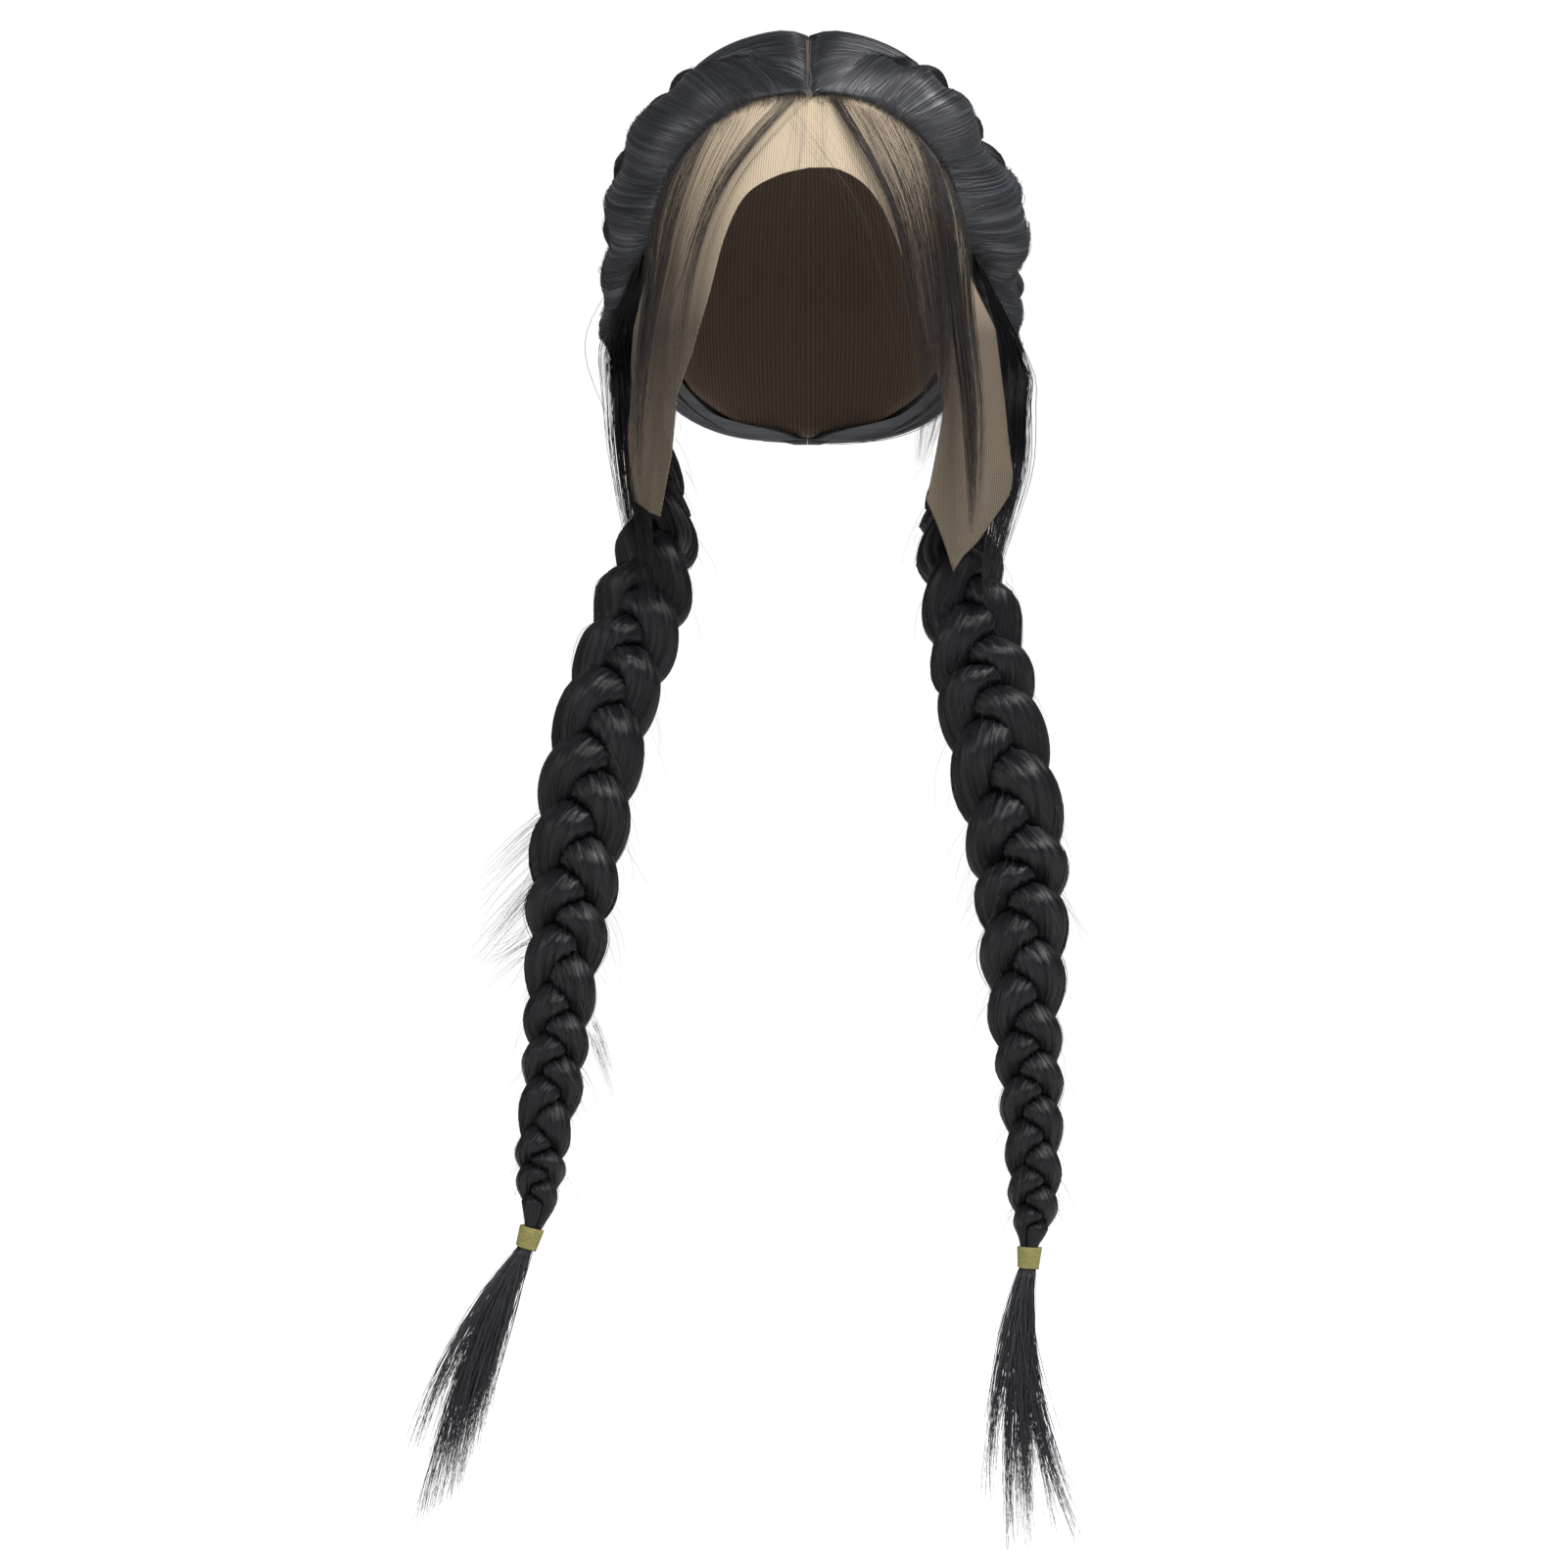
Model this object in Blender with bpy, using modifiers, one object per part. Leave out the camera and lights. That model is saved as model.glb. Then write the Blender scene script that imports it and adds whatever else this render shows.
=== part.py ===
"""Braid wig with a lace front, a centre part and two three-strand braids.

Metres, +Z up. The wig faces -Y, its left braid in a front view is at -X, and the origin is the top of
the head form, on the cap's inner face.
"""

import bmesh
import bpy
import numpy as np

# Head form that the wig is worn on: a superellipsoid
HEAD_CENTRE = np.array([0.0, 0.004, -0.100])
HEAD_HALF = np.array([0.074, 0.093, 0.100])
HEAD_DROP = 0.140
HEAD_POWER = 2.3

# Walls and clearances
CAP_WALL = 0.0015
LACE_WALL = 0.0010
LACE_CLEAR = 0.0002
LOCK_WALL = 0.0016
HAIR_CLEAR = 0.0029
HAIR_WALL = 0.0012
HAIR_EDGE = 0.0045
PART_HALF_GAP = 0.0004
SEAM_GAP = 0.4
LOCK_ROOT_GAP = 1.0

# Grid sizes
CAP_ROWS = 6
LACE_ROWS = 6
HAIR_COLUMNS = 34
HAIR_ROWS = 20
INNER_STEP = 2
LOCK_COLUMNS = 3
LOCK_ROWS = 8
STRAND_SIDES = 8
RINGS_PER_LOBE = 3
TIE_STEPS = 16

# Share of a braid's width taken by the swing of its strands and by each strand's own half width
SWING = 0.28
STRAND_HALF = 0.24
DEPTH_SWING = 0.30
DEPTH_HALF = 0.25
STRAND_GAP = 0.0005
LEAST_HALF = 0.0005
LEAST_FACING = 0.02
MERGE = 0.00001

# Seam between the cap and the lace, and the cap's rim behind it: azimuth from the front and elevation
SEAM = np.array([
    # azimuth, elevation
    (0, 51.0), (9, 50.8), (18, 50.0), (27, 47.4), (36, 43.2), (45, 36.6),
    (52, 29.5), (59, 21.0), (66, 16.0), (73, 12.5), (80, 9.0),
])
RIM = np.array([
    # azimuth, elevation
    (90, -2.0), (105, -9.0), (122, -16.0), (140, -29.0), (160, -36.0), (180, -38.0),
])

# Hairline from the part to the ear, then the lower edge of the hair to the nape
HAIRLINE = {
    "left": np.array([
        (3, 46.0), (20, 45.0), (30, 42.0), (40, 36.5), (50, 28.0), (57, 15.5), (69, 8.0), (80, 3.0),
        (87, -6.0), (91, -15.5), (103, -16.5), (116, -18.0), (128, -24.0), (150, -34.0), (176, -39.0),
    ]),
    "right": np.array([
        (3, 46.0), (20, 45.0), (30, 42.0), (40, 36.5), (50, 28.0), (57, 15.5), (69, 8.0), (80, 3.0),
        (87, -8.0), (91, -21.5), (103, -22.5), (116, -23.5), (128, -26.0), (150, -34.0), (176, -39.0),
    ]),
}

# Lower edge of the lace, one row for each seam row: azimuth, height above the origin
LACE_EDGE = {
    "left": np.array([
        (0, -0.060), (9, -0.0635), (18, -0.072), (24, -0.090), (29.5, -0.117), (36, -0.142),
        (43, -0.160), (46, -0.186), (54, -0.213), (68, -0.2075), (80, -0.200),
    ]),
    "right": np.array([
        (0, -0.060), (9, -0.061), (18, -0.071), (25.6, -0.094), (31, -0.118), (38, -0.140),
        (45, -0.163), (36, -0.207), (51, -0.238), (68, -0.216), (80, -0.190),
    ]),
}
# How far the outer edge of each free tab stands off the head, by height
LACE_FLARE = {
    "left": np.array([(-0.100, 0.0), (-0.125, 0.006), (-0.175, 0.010), (-0.213, 0.006)]),
    "right": np.array([(-0.100, 0.0), (-0.125, 0.0115), (-0.190, 0.020), (-0.238, 0.016)]),
}
FLARE_FROM, FLARE_TO = 50.0, 80.0

# Braid on the head: azimuth, elevation, width, height of its middle plane over the head form
HEAD_BRAID = {
    "left": np.array([
        (30, 66, 0.022, 0.0085), (56, 52, 0.031, 0.0085), (76, 35, 0.036, 0.0110),
        (89, 14, 0.038, 0.0115), (97, -8, 0.038, 0.0120), (103, -27, 0.036, 0.0125),
    ]),
    "right": np.array([
        (30, 66, 0.022, 0.0085), (54, 52, 0.032, 0.0095), (75, 35, 0.038, 0.0115),
        (90, 14, 0.042, 0.0160), (97, -8, 0.041, 0.0140), (103, -30, 0.038, 0.0130),
    ]),
}
HEAD_BRAID_LOBES = 5.0
HEAD_BRAID_DEPTH = 0.60
HEAD_BRAID_LEVEL = 0.012
HEAD_BRAID_SPREAD = 1.08
HEAD_BRAID_END = 0.012
HEAD_BRAID_END_ROUND = 1.6
NO_BRAID = -0.020
BLEND = 0.0016

# Swell of the hair over the head form: heights in metres, reaches in degrees of arc
CROWN_SWELL = 0.0125
SIDE_SWELL = 0.0075
SWELL_LOW, SWELL_HIGH = 10.0, 70.0
SWELL_REACH = 34.0
SWELL_ROUND = 0.7
PART_DIP = 0.0028
PART_DIP_WIDTH = 0.006
PART_DIP_REACH = 8.0
SURFACE_LEVEL = 0.008

# Sections that are fed into the braid: height, waves for each strand, lag sideways and where they show
SECTION_SWELL = 0.0022
SECTION_WAVES = 3.0
SECTION_LAG = 90.0
SECTION_REACH = 14.0
SECTION_ACROSS = 2.6
SECTION_FROM, SECTION_TO = 20.0, 40.0

# Hanging braids, a row for each notch on the outer edge: x, y, z, width, depth share, azimuth it faces
BRAID = {
    "left": np.array([
        (-0.0800, 0.0220, -0.1267, 0.034, 0.62, -100), (-0.0755, 0.0310, -0.1575, 0.035, 0.62, -90),
        (-0.0670, 0.0270, -0.1900, 0.036, 0.62, -70), (-0.0690, 0.0080, -0.2165, 0.037, 0.62, -48),
        (-0.0740, -0.0095, -0.2420, 0.041, 0.62, -26), (-0.0810, -0.0250, -0.2680, 0.041, 0.60, -9),
        (-0.0895, -0.0380, -0.2930, 0.041, 0.60, 0), (-0.0970, -0.0500, -0.3230, 0.042, 0.60, 0),
        (-0.1025, -0.0580, -0.3520, 0.041, 0.60, 0), (-0.1063, -0.0640, -0.3810, 0.0385, 0.60, 0),
        (-0.1087, -0.0665, -0.4040, 0.0345, 0.60, 0), (-0.1118, -0.0685, -0.4310, 0.030, 0.62, 0),
        (-0.1132, -0.0700, -0.4510, 0.0275, 0.64, 0), (-0.1152, -0.0700, -0.4700, 0.026, 0.66, 0),
        (-0.1190, -0.0700, -0.4930, 0.023, 0.70, 0), (-0.1203, -0.0700, -0.5070, 0.021, 0.72, 0),
        (-0.1216, -0.0700, -0.5210, 0.016, 0.80, 0),
    ]),
    "right": np.array([
        (0.0840, 0.0220, -0.1380, 0.036, 0.62, 100), (0.0760, 0.0320, -0.1690, 0.036, 0.62, 90),
        (0.0660, 0.0270, -0.1990, 0.037, 0.62, 70), (0.0690, 0.0060, -0.2240, 0.039, 0.62, 48),
        (0.0732, -0.0140, -0.2495, 0.042, 0.62, 26), (0.0783, -0.0300, -0.2780, 0.043, 0.60, 9),
        (0.0815, -0.0405, -0.2997, 0.043, 0.60, 0), (0.0883, -0.0520, -0.3310, 0.045, 0.60, 0),
        (0.0935, -0.0600, -0.3635, 0.043, 0.60, 0), (0.0951, -0.0640, -0.3855, 0.039, 0.60, 0),
        (0.0964, -0.0670, -0.4120, 0.037, 0.60, 0), (0.0967, -0.0690, -0.4390, 0.031, 0.62, 0),
        (0.0985, -0.0700, -0.4594, 0.0285, 0.64, 0), (0.0996, -0.0700, -0.4786, 0.0265, 0.66, 0),
        (0.1005, -0.0700, -0.4996, 0.024, 0.70, 0), (0.1006, -0.0700, -0.5180, 0.022, 0.72, 0),
        (0.1000, -0.0700, -0.5320, 0.016, 0.80, 0),
    ]),
}
START_LEAN = 0.36
END_RINGS = np.array([0.0, 0.35, 0.7, 1.0, 2.0])
BRAID_PHASE = {"left": 90.0, "right": 30.0}
LOBE_TURN = 120.0

# Ties: middle, lean from upright in the front view, radii and height
TIE_CENTRE = {
    "left": np.array([-0.1253, -0.0700, -0.5369]),
    "right": np.array([0.0983, -0.0700, -0.5457]),
}
TIE_LEAN = {"left": 17.0, "right": 4.0}
TIE_HEIGHT = 0.0105
TIE_TOP_RADIUS = 0.0055
TIE_FOOT_RADIUS = 0.0047
TIE_WALL = 0.0009
TIE_TURNS = 4
TIE_RIDGE = 0.00025
TIE_FILL_WIDTH = 0.0073
TIE_FILL_DEPTH = 0.96
HALF_END_GAP = 0.0004

# Tails: a row for each lock: tip x, y, z, sideways bulge at the middle, root radius, middle radius
TAIL = {
    "left": np.array([
        (-0.1788, -0.070, -0.6350, -0.0240, 0.0020, 0.0036),
        (-0.1744, -0.066, -0.6666, -0.0190, 0.0022, 0.0040),
        (-0.1650, -0.074, -0.6574, -0.0130, 0.0022, 0.0040),
        (-0.1586, -0.068, -0.6521, -0.0070, 0.0022, 0.0040),
        (-0.1503, -0.073, -0.6306, -0.0010, 0.0020, 0.0034),
        (-0.1620, -0.062, -0.6400, -0.0110, 0.0020, 0.0036),
    ]),
    "right": np.array([
        (0.0792, -0.070, -0.6560, -0.0130, 0.0020, 0.0034),
        (0.0895, -0.066, -0.6820, -0.0090, 0.0022, 0.0038),
        (0.0976, -0.074, -0.6750, -0.0030, 0.0022, 0.0040),
        (0.1120, -0.068, -0.6710, -0.0030, 0.0022, 0.0038),
        (0.1226, -0.072, -0.6780, -0.0070, 0.0020, 0.0032),
        (0.0990, -0.061, -0.6600, -0.0020, 0.0020, 0.0036),
    ]),
}
TAIL_HEAD_RADIUS = 0.0031
TAIL_HEAD_GROWTH = 1.15
TAIL_HEAD_LENGTH = 0.010
TAIL_POINTS = 6
TAIL_TIP = 0.16
TAIL_SPREAD = 0.35
TAIL_SWELL_RATE, TAIL_SWELL_POWER = 1.1, 0.8
TAIL_TAPER_FROM = 0.55
ROOT_DEPTH = 0.0015
ROOT_STAGGER = 0.0006
ROOT_RING = 0.0009

# Front locks: azimuth and height of the inner edge, azimuth and height of the outer edge, stand-off.
# The first row's heights are taken from the hairline.
BANGS = {
    "bang_left_inner": np.array([
        (-5, 0, -11, 0, 0.0020), (-14, -0.046, -19, -0.046, 0.0036), (-22, -0.066, -26.5, -0.066, 0.0045),
        (-28, -0.090, -32, -0.090, 0.0060), (-32.5, -0.115, -36.5, -0.115, 0.0060),
        (-35, -0.141, -39.5, -0.141, 0.0060), (-38, -0.165, -41.5, -0.165, 0.0060),
        (-41, -0.188, -42.5, -0.188, 0.0060),
    ]),
    "bang_left_outer": np.array([
        (-33, 0, -52, 0, 0.0026), (-38, -0.070, -54, -0.080, 0.0042), (-43, -0.100, -56, -0.108, 0.0060),
        (-48, -0.130, -58, -0.134, 0.0080), (-51, -0.160, -59, -0.160, 0.0100),
        (-52, -0.184, -57, -0.184, 0.0110), (-51.5, -0.203, -53.5, -0.203, 0.0110),
    ]),
    "bang_right_inner": np.array([
        (8, 0, 36, 0, 0.0026), (16, -0.056, 37, -0.062, 0.0040), (22, -0.080, 38, -0.084, 0.0050),
        (26, -0.110, 40, -0.112, 0.0060), (29, -0.135, 41, -0.135, 0.0060),
        (31, -0.160, 40, -0.160, 0.0060), (30, -0.178, 36, -0.178, 0.0060),
        (29, -0.193, 31, -0.193, 0.0060),
    ]),
    "bang_right_outer": np.array([
        (38, 0, 55, 0, 0.0026), (38.8, -0.080, 56, -0.090, 0.0042), (40.5, -0.110, 56, -0.116, 0.0060),
        (42, -0.140, 56, -0.142, 0.0090), (43, -0.165, 55, -0.165, 0.0120),
        (44, -0.190, 53, -0.190, 0.0130), (45, -0.208, 51, -0.208, 0.0130),
        (46, -0.222, 48, -0.222, 0.0130),
    ]),
}

# Side locks: x, y, z, width, and how far the edges lie back from the middle as a share of the width
LOCK_BOW = 0.12
SIDE_LOCKS = {
    "side_lock_left": np.array([
        (-0.0860, 0.0025, -0.1248, 0.014), (-0.0845, 0.0000, -0.1510, 0.013),
        (-0.0825, -0.0010, -0.1770, 0.012), (-0.0795, -0.0060, -0.2040, 0.011),
        (-0.0750, -0.0240, -0.2290, 0.009), (-0.0705, -0.0390, -0.2500, 0.004),
    ]),
    "side_lock_right": np.array([
        (0.0925, 0.0019, -0.1376, 0.012), (0.0915, -0.0028, -0.1600, 0.013),
        (0.0910, -0.0060, -0.1880, 0.012), (0.0865, -0.0160, -0.2120, 0.011),
        (0.0825, -0.0350, -0.2350, 0.008), (0.0807, -0.0480, -0.2560, 0.004),
    ]),
}

SIDES = {"left": -1.0, "right": 1.0}

# Colour, roughness, metallic
FINISHES = {
    "hair": ((0.012, 0.012, 0.015), 0.38, 0.0),
    "lace": ((0.35, 0.26, 0.18), 0.80, 0.0),
    "net": ((0.28, 0.22, 0.16), 0.85, 0.0),
    "thread": ((0.30, 0.27, 0.05), 0.60, 0.0),
}


def clear_scene():
    """Empties the scene of objects."""
    for thing in list(bpy.data.objects):
        bpy.data.objects.remove(thing, do_unlink=True)


def finish(name):
    """Material with the colour, roughness and metallic value that the table gives."""
    found = bpy.data.materials.get(name)
    if found:
        return found
    colour, rough, metallic = FINISHES[name]
    made = bpy.data.materials.new(name)
    made.use_nodes = True
    shader = made.node_tree.nodes["Principled BSDF"]
    shader.inputs["Base Color"].default_value = (*colour, 1.0)
    shader.inputs["Roughness"].default_value = rough
    shader.inputs["Metallic"].default_value = metallic
    return made


def add_object(name, points, faces, material, group):
    """Object named `name` from vertices and faces, in the wig's collection."""
    mesh = bpy.data.meshes.new(name)
    mesh.from_pydata([tuple(p) for p in points], [], faces)
    mesh.validate()
    mesh.materials.append(finish(material))
    made = bpy.data.objects.new(name, mesh)
    group.objects.link(made)
    return made


def thicken(made, wall):
    """Gives an open sheet its wall, outwards from its own face."""
    solid = made.modifiers.new("wall", "SOLIDIFY")
    solid.thickness = wall
    solid.offset = 1.0


def ease(x):
    """Smooth step from 0 to 1."""
    x = np.clip(x, 0.0, 1.0)
    return x * x * (3.0 - 2.0 * x)


def curve_through(rows, at):
    """Rows read at fractional row numbers, on a cubic whose slopes are half the step between neighbours."""
    slopes = np.gradient(rows, axis=0)
    k = np.clip(np.floor(at).astype(int), 0, len(rows) - 2)
    t = (at - k)[:, None]
    a, b = rows[k], rows[k + 1]
    return ((1 + 2 * t) * (1 - t) ** 2 * a + t * (1 - t) ** 2 * slopes[k]
            + t * t * (3 - 2 * t) * b + t * t * (t - 1) * slopes[k + 1])


def way(azimuth, elevation):
    """Unit direction at an azimuth from the front and an elevation, in degrees."""
    a, e = np.radians(azimuth), np.radians(elevation)
    return np.stack([np.sin(a) * np.cos(e), -np.cos(a) * np.cos(e), np.sin(e)], -1)


def on_head(direction, offset):
    """Point in that direction on the head form grown by the offset."""
    half = np.broadcast_to(HEAD_HALF, direction.shape).copy()
    half[..., 2] = np.where(direction[..., 2] < 0, HEAD_DROP, HEAD_HALF[2])
    half = half + np.asarray(offset)[..., None]
    reach = (np.abs(direction / half) ** HEAD_POWER).sum(-1) ** (-1.0 / HEAD_POWER)
    return HEAD_CENTRE + direction * reach[..., None]


def on_drape(azimuth, height, offset):
    """Point at a height, on the head form down to its widest level and on an upright wall below it."""
    half = HEAD_HALF + np.asarray(offset)[..., None]
    rise = np.clip((height - HEAD_CENTRE[2]) / half[..., 2], 0.0, 0.999)
    level = (1.0 - rise ** HEAD_POWER) ** (1.0 / HEAD_POWER)
    a = np.radians(azimuth)
    flat = np.stack([np.sin(a), -np.cos(a)], -1)
    reach = (np.abs(flat / half[..., :2]) ** HEAD_POWER).sum(-1) ** (-1.0 / HEAD_POWER) * level
    return np.stack([HEAD_CENTRE[0] + flat[..., 0] * reach,
                     HEAD_CENTRE[1] + flat[..., 1] * reach, height + 0 * reach], -1)


def grid_faces(rows, columns, start=0, flip=False):
    """Quads of a grid of vertices that is stored row by row."""
    faces = []
    for r in range(rows - 1):
        for c in range(columns - 1):
            a = start + r * columns + c
            quad = (a, a + columns, a + columns + 1, a + 1)
            faces.append(quad[::-1] if flip else quad)
    return faces


def make_cap(group):
    """Net cap: rows from the crown down to the seam in front and the rim behind."""
    azimuths = np.concatenate([SEAM[:, 0], RIM[:-1, 0], [180], -RIM[-2::-1, 0], -SEAM[:0:-1, 0]])
    table = np.vstack([SEAM, RIM])
    low = np.interp(np.abs(azimuths), table[:, 0], table[:, 1])
    share = np.linspace(0, 1, CAP_ROWS + 1)[1:, None]
    elevation = 90.0 + (low - 90.0)[None, :] * share
    ring = on_head(way(azimuths[None, :], elevation), np.zeros_like(elevation))
    points = np.vstack([on_head(way(0.0, 90.0), 0.0)[None, :], ring.reshape(-1, 3)])
    count = len(azimuths)
    faces = [(0, 1 + c, 1 + (c + 1) % count) for c in range(count)]
    for r in range(CAP_ROWS - 1):
        for c in range(count):
            d = (c + 1) % count
            faces.append((1 + r * count + c, 1 + (r + 1) * count + c,
                          1 + (r + 1) * count + d, 1 + r * count + d))
    thicken(add_object("cap", points, faces, "net", group), CAP_WALL)


def make_lace(group):
    """Lace: a column from each seam row down to the lower edge, whose outer columns flare off the head."""
    columns = []
    for side in ("left", "right"):
        sign = SIDES[side]
        slope = np.gradient(SEAM[:, 1], SEAM[:, 0])
        top = SEAM[:, 1] - SEAM_GAP * np.sqrt(1 + slope ** 2)
        start_height = on_head(way(SEAM[:, 0], top), LACE_CLEAR + 0 * top)[:, 2]
        edge = LACE_EDGE[side]
        share = np.linspace(0, 1, LACE_ROWS + 1)[:, None]
        height = start_height + (edge[:, 1] - start_height) * share
        azimuth = SEAM[:, 0] + (edge[:, 0] - SEAM[:, 0]) * share ** 3
        flare = np.interp(-height, -LACE_FLARE[side][:, 0], LACE_FLARE[side][:, 1])
        flare = flare * ease((azimuth - FLARE_FROM) / (FLARE_TO - FLARE_FROM))
        block = on_drape(azimuth * sign, height, LACE_CLEAR + flare)
        columns.append(block[:, ::-1] if side == "left" else block[:, 1:])
    grid = np.concatenate(columns, axis=1)
    faces = grid_faces(grid.shape[0], grid.shape[1])
    thicken(add_object("lace_front", grid.reshape(-1, 3), faces, "lace", group), LACE_WALL)


def strand_places(phase, width, depth):
    """Sideways and outward place of the three strands, from the phase of the first one in degrees.

    A strand swings sideways once while it swings outwards twice, so it lies on top from the middle to an
    edge and returns underneath.
    """
    turn = np.radians(phase[..., None] + LOBE_TURN * np.arange(3))
    across = SWING * width[..., None] * np.sin(turn)
    out = DEPTH_SWING * (depth * width)[..., None] * np.sin(2 * turn)
    return across, out


def braid_relief(direction, side):
    """Height over the head form of the braid that is fed along the side of the head, minus outside it."""
    rows = HEAD_BRAID[side]
    steps = np.linspace(0, len(rows) - 1, 91)
    line = curve_through(rows, steps)
    spots = on_head(way(line[:, 0] * SIDES[side], line[:, 1]), line[:, 3])
    here = on_head(direction, np.full(direction.shape[:-1], HEAD_BRAID_LEVEL))
    gap = np.linalg.norm(here[..., None, :] - spots, axis=-1)
    near = gap.argmin(-1)
    ahead = np.gradient(spots, axis=0)
    ahead /= np.linalg.norm(ahead, axis=1)[:, None]
    up = spots - HEAD_CENTRE
    lateral = np.cross(up, ahead) * SIDES[side]
    lateral /= np.linalg.norm(lateral, axis=1)[:, None]
    across = ((here - spots[near]) * lateral[near]).sum(-1)
    along = ((here - spots[near]) * ahead[near]).sum(-1)
    width = line[near, 2]
    phase = BRAID_PHASE[side] + LOBE_TURN * HEAD_BRAID_LOBES * steps[near] / (len(rows) - 1)
    depth = np.full_like(width, HEAD_BRAID_DEPTH)
    places, outs = strand_places(phase, width, depth)
    reach = (across[..., None] - places) / (STRAND_HALF * width[..., None] * HEAD_BRAID_SPREAD)
    top = outs + DEPTH_HALF * (HEAD_BRAID_DEPTH * width)[..., None] * np.sqrt(np.clip(1 - reach ** 2, 0, 1))
    top = np.where(np.abs(reach) < 1, top, NO_BRAID).max(-1)
    fade = ease(HEAD_BRAID_END_ROUND - np.abs(along) / HEAD_BRAID_END)
    return line[near, 3] + top * fade + NO_BRAID * (1 - fade), across / (0.5 * width), phase


def hair_height(direction, side):
    """Height of the hair over the head form: swell from the hairline, sections, and the fed-in braid."""
    elevation = np.degrees(np.arcsin(np.clip(direction[..., 2], -1, 1)))
    azimuth = np.degrees(np.arctan2(np.abs(direction[..., 0]), -direction[..., 1]))
    line = way(HAIRLINE[side][:, 0] * SIDES[side], HAIRLINE[side][:, 1])
    fine = curve_through(line, np.linspace(0, len(line) - 1, 80))
    fine /= np.linalg.norm(fine, axis=1)[:, None]
    from_edge = np.degrees(np.arccos(np.clip((direction[..., None, :] * fine).sum(-1), -1, 1))).min(-1)
    swell = SIDE_SWELL + (CROWN_SWELL - SIDE_SWELL) * ease((elevation - SWELL_LOW) / (SWELL_HIGH - SWELL_LOW))
    base = HAIR_EDGE + (swell - HAIR_EDGE) * ease(from_edge / SWELL_REACH) ** SWELL_ROUND
    here = on_head(direction, np.full(direction.shape[:-1], SURFACE_LEVEL))
    dip = PART_DIP * np.exp(-(here[..., 0] / PART_DIP_WIDTH) ** 2)
    relief, across, phase = braid_relief(direction, side)
    lean = np.radians(phase * SECTION_WAVES - SECTION_LAG * np.abs(across))
    shown = ease(from_edge / SECTION_REACH) * ease(SECTION_ACROSS - np.abs(across))
    shown = shown * ease((azimuth - SECTION_FROM) / (SECTION_TO - SECTION_FROM))
    sections = SECTION_SWELL * np.cos(lean) * shown
    base = base - dip * ease(from_edge / PART_DIP_REACH) + sections
    return np.maximum(BLEND * np.logaddexp(base / BLEND, relief / BLEND), HAIR_CLEAR + HAIR_WALL)


def shell_solid(name, outer, inner, material, group):
    """Closed solid between two grids: every vertex outside, every second one inside, and a rim wall."""
    rows, columns = outer.shape[:2]
    points = list(outer.reshape(-1, 3))
    faces = grid_faces(rows, columns)
    slot = {}
    for r in range(rows):
        for c in range(columns):
            border = r in (0, rows - 1) or c in (0, columns - 1)
            if border or (r % INNER_STEP == 0 and c % INNER_STEP == 0):
                slot[r, c] = len(points)
                points.append(inner[r, c])
    for r in range(0, rows - 1, INNER_STEP):
        for c in range(0, columns - 1, INNER_STEP):
            ring = [(r, c + i) for i in range(INNER_STEP)]
            ring += [(r + i, c + INNER_STEP) for i in range(INNER_STEP)]
            ring += [(r + INNER_STEP, c + INNER_STEP - i) for i in range(INNER_STEP)]
            ring += [(r + INNER_STEP - i, c) for i in range(INNER_STEP)]
            faces.append(tuple(slot[spot] for spot in ring if spot in slot))
    loop = [(0, c) for c in range(columns - 1)] + [(r, columns - 1) for r in range(rows - 1)]
    loop += [(rows - 1, c) for c in range(columns - 1, 0, -1)] + [(r, 0) for r in range(rows - 1, 0, -1)]
    for here, after in zip(loop, loop[1:] + loop[:1]):
        a, b = here[0] * columns + here[1], after[0] * columns + after[1]
        faces.append((a, b, slot[after], slot[here]))
    made = add_object(name, points, faces, material, group)
    face_outwards(made)
    return made


def face_outwards(made):
    """Turns every face of a closed mesh outwards."""
    work = bmesh.new()
    work.from_mesh(made.data)
    bmesh.ops.recalc_face_normals(work, faces=work.faces)
    if work.calc_volume(signed=True) < 0:
        bmesh.ops.reverse_faces(work, faces=work.faces)
    work.to_mesh(made.data)
    work.free()


def make_hair(side, group):
    """Half of the hair: columns run from the centre part to the hairline, the side and the nape."""
    sign = SIDES[side]
    share = np.linspace(0, 1, HAIR_COLUMNS + 1)
    table = HAIRLINE[side]
    part_turn = table[0, 1] + (180.0 - table[-1, 1] - table[0, 1]) * share
    part = np.stack([0 * part_turn, -np.cos(np.radians(part_turn)), np.sin(np.radians(part_turn))], -1)
    line = curve_through(table, share * (len(table) - 1))
    edge = way(line[:, 0] * sign, line[:, 1])
    gap = np.arccos(np.clip((part * edge).sum(-1), -1, 1))[None, :, None]
    t = np.linspace(0, 1, HAIR_ROWS + 1)[:, None, None]
    direction = (np.sin((1 - t) * gap) * part + np.sin(t * gap) * edge) / np.sin(gap)
    height = hair_height(direction, side)
    outer = on_head(direction, height)
    inner = on_head(direction, np.full_like(height, HAIR_CLEAR))
    for grid in (outer, inner):
        grid[0, :, 0] = sign * PART_HALF_GAP
        grid[:, :, 0] = sign * np.maximum(sign * grid[:, :, 0], PART_HALF_GAP)
    shell_solid("hair_" + side, outer, inner, "hair", group)


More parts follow.
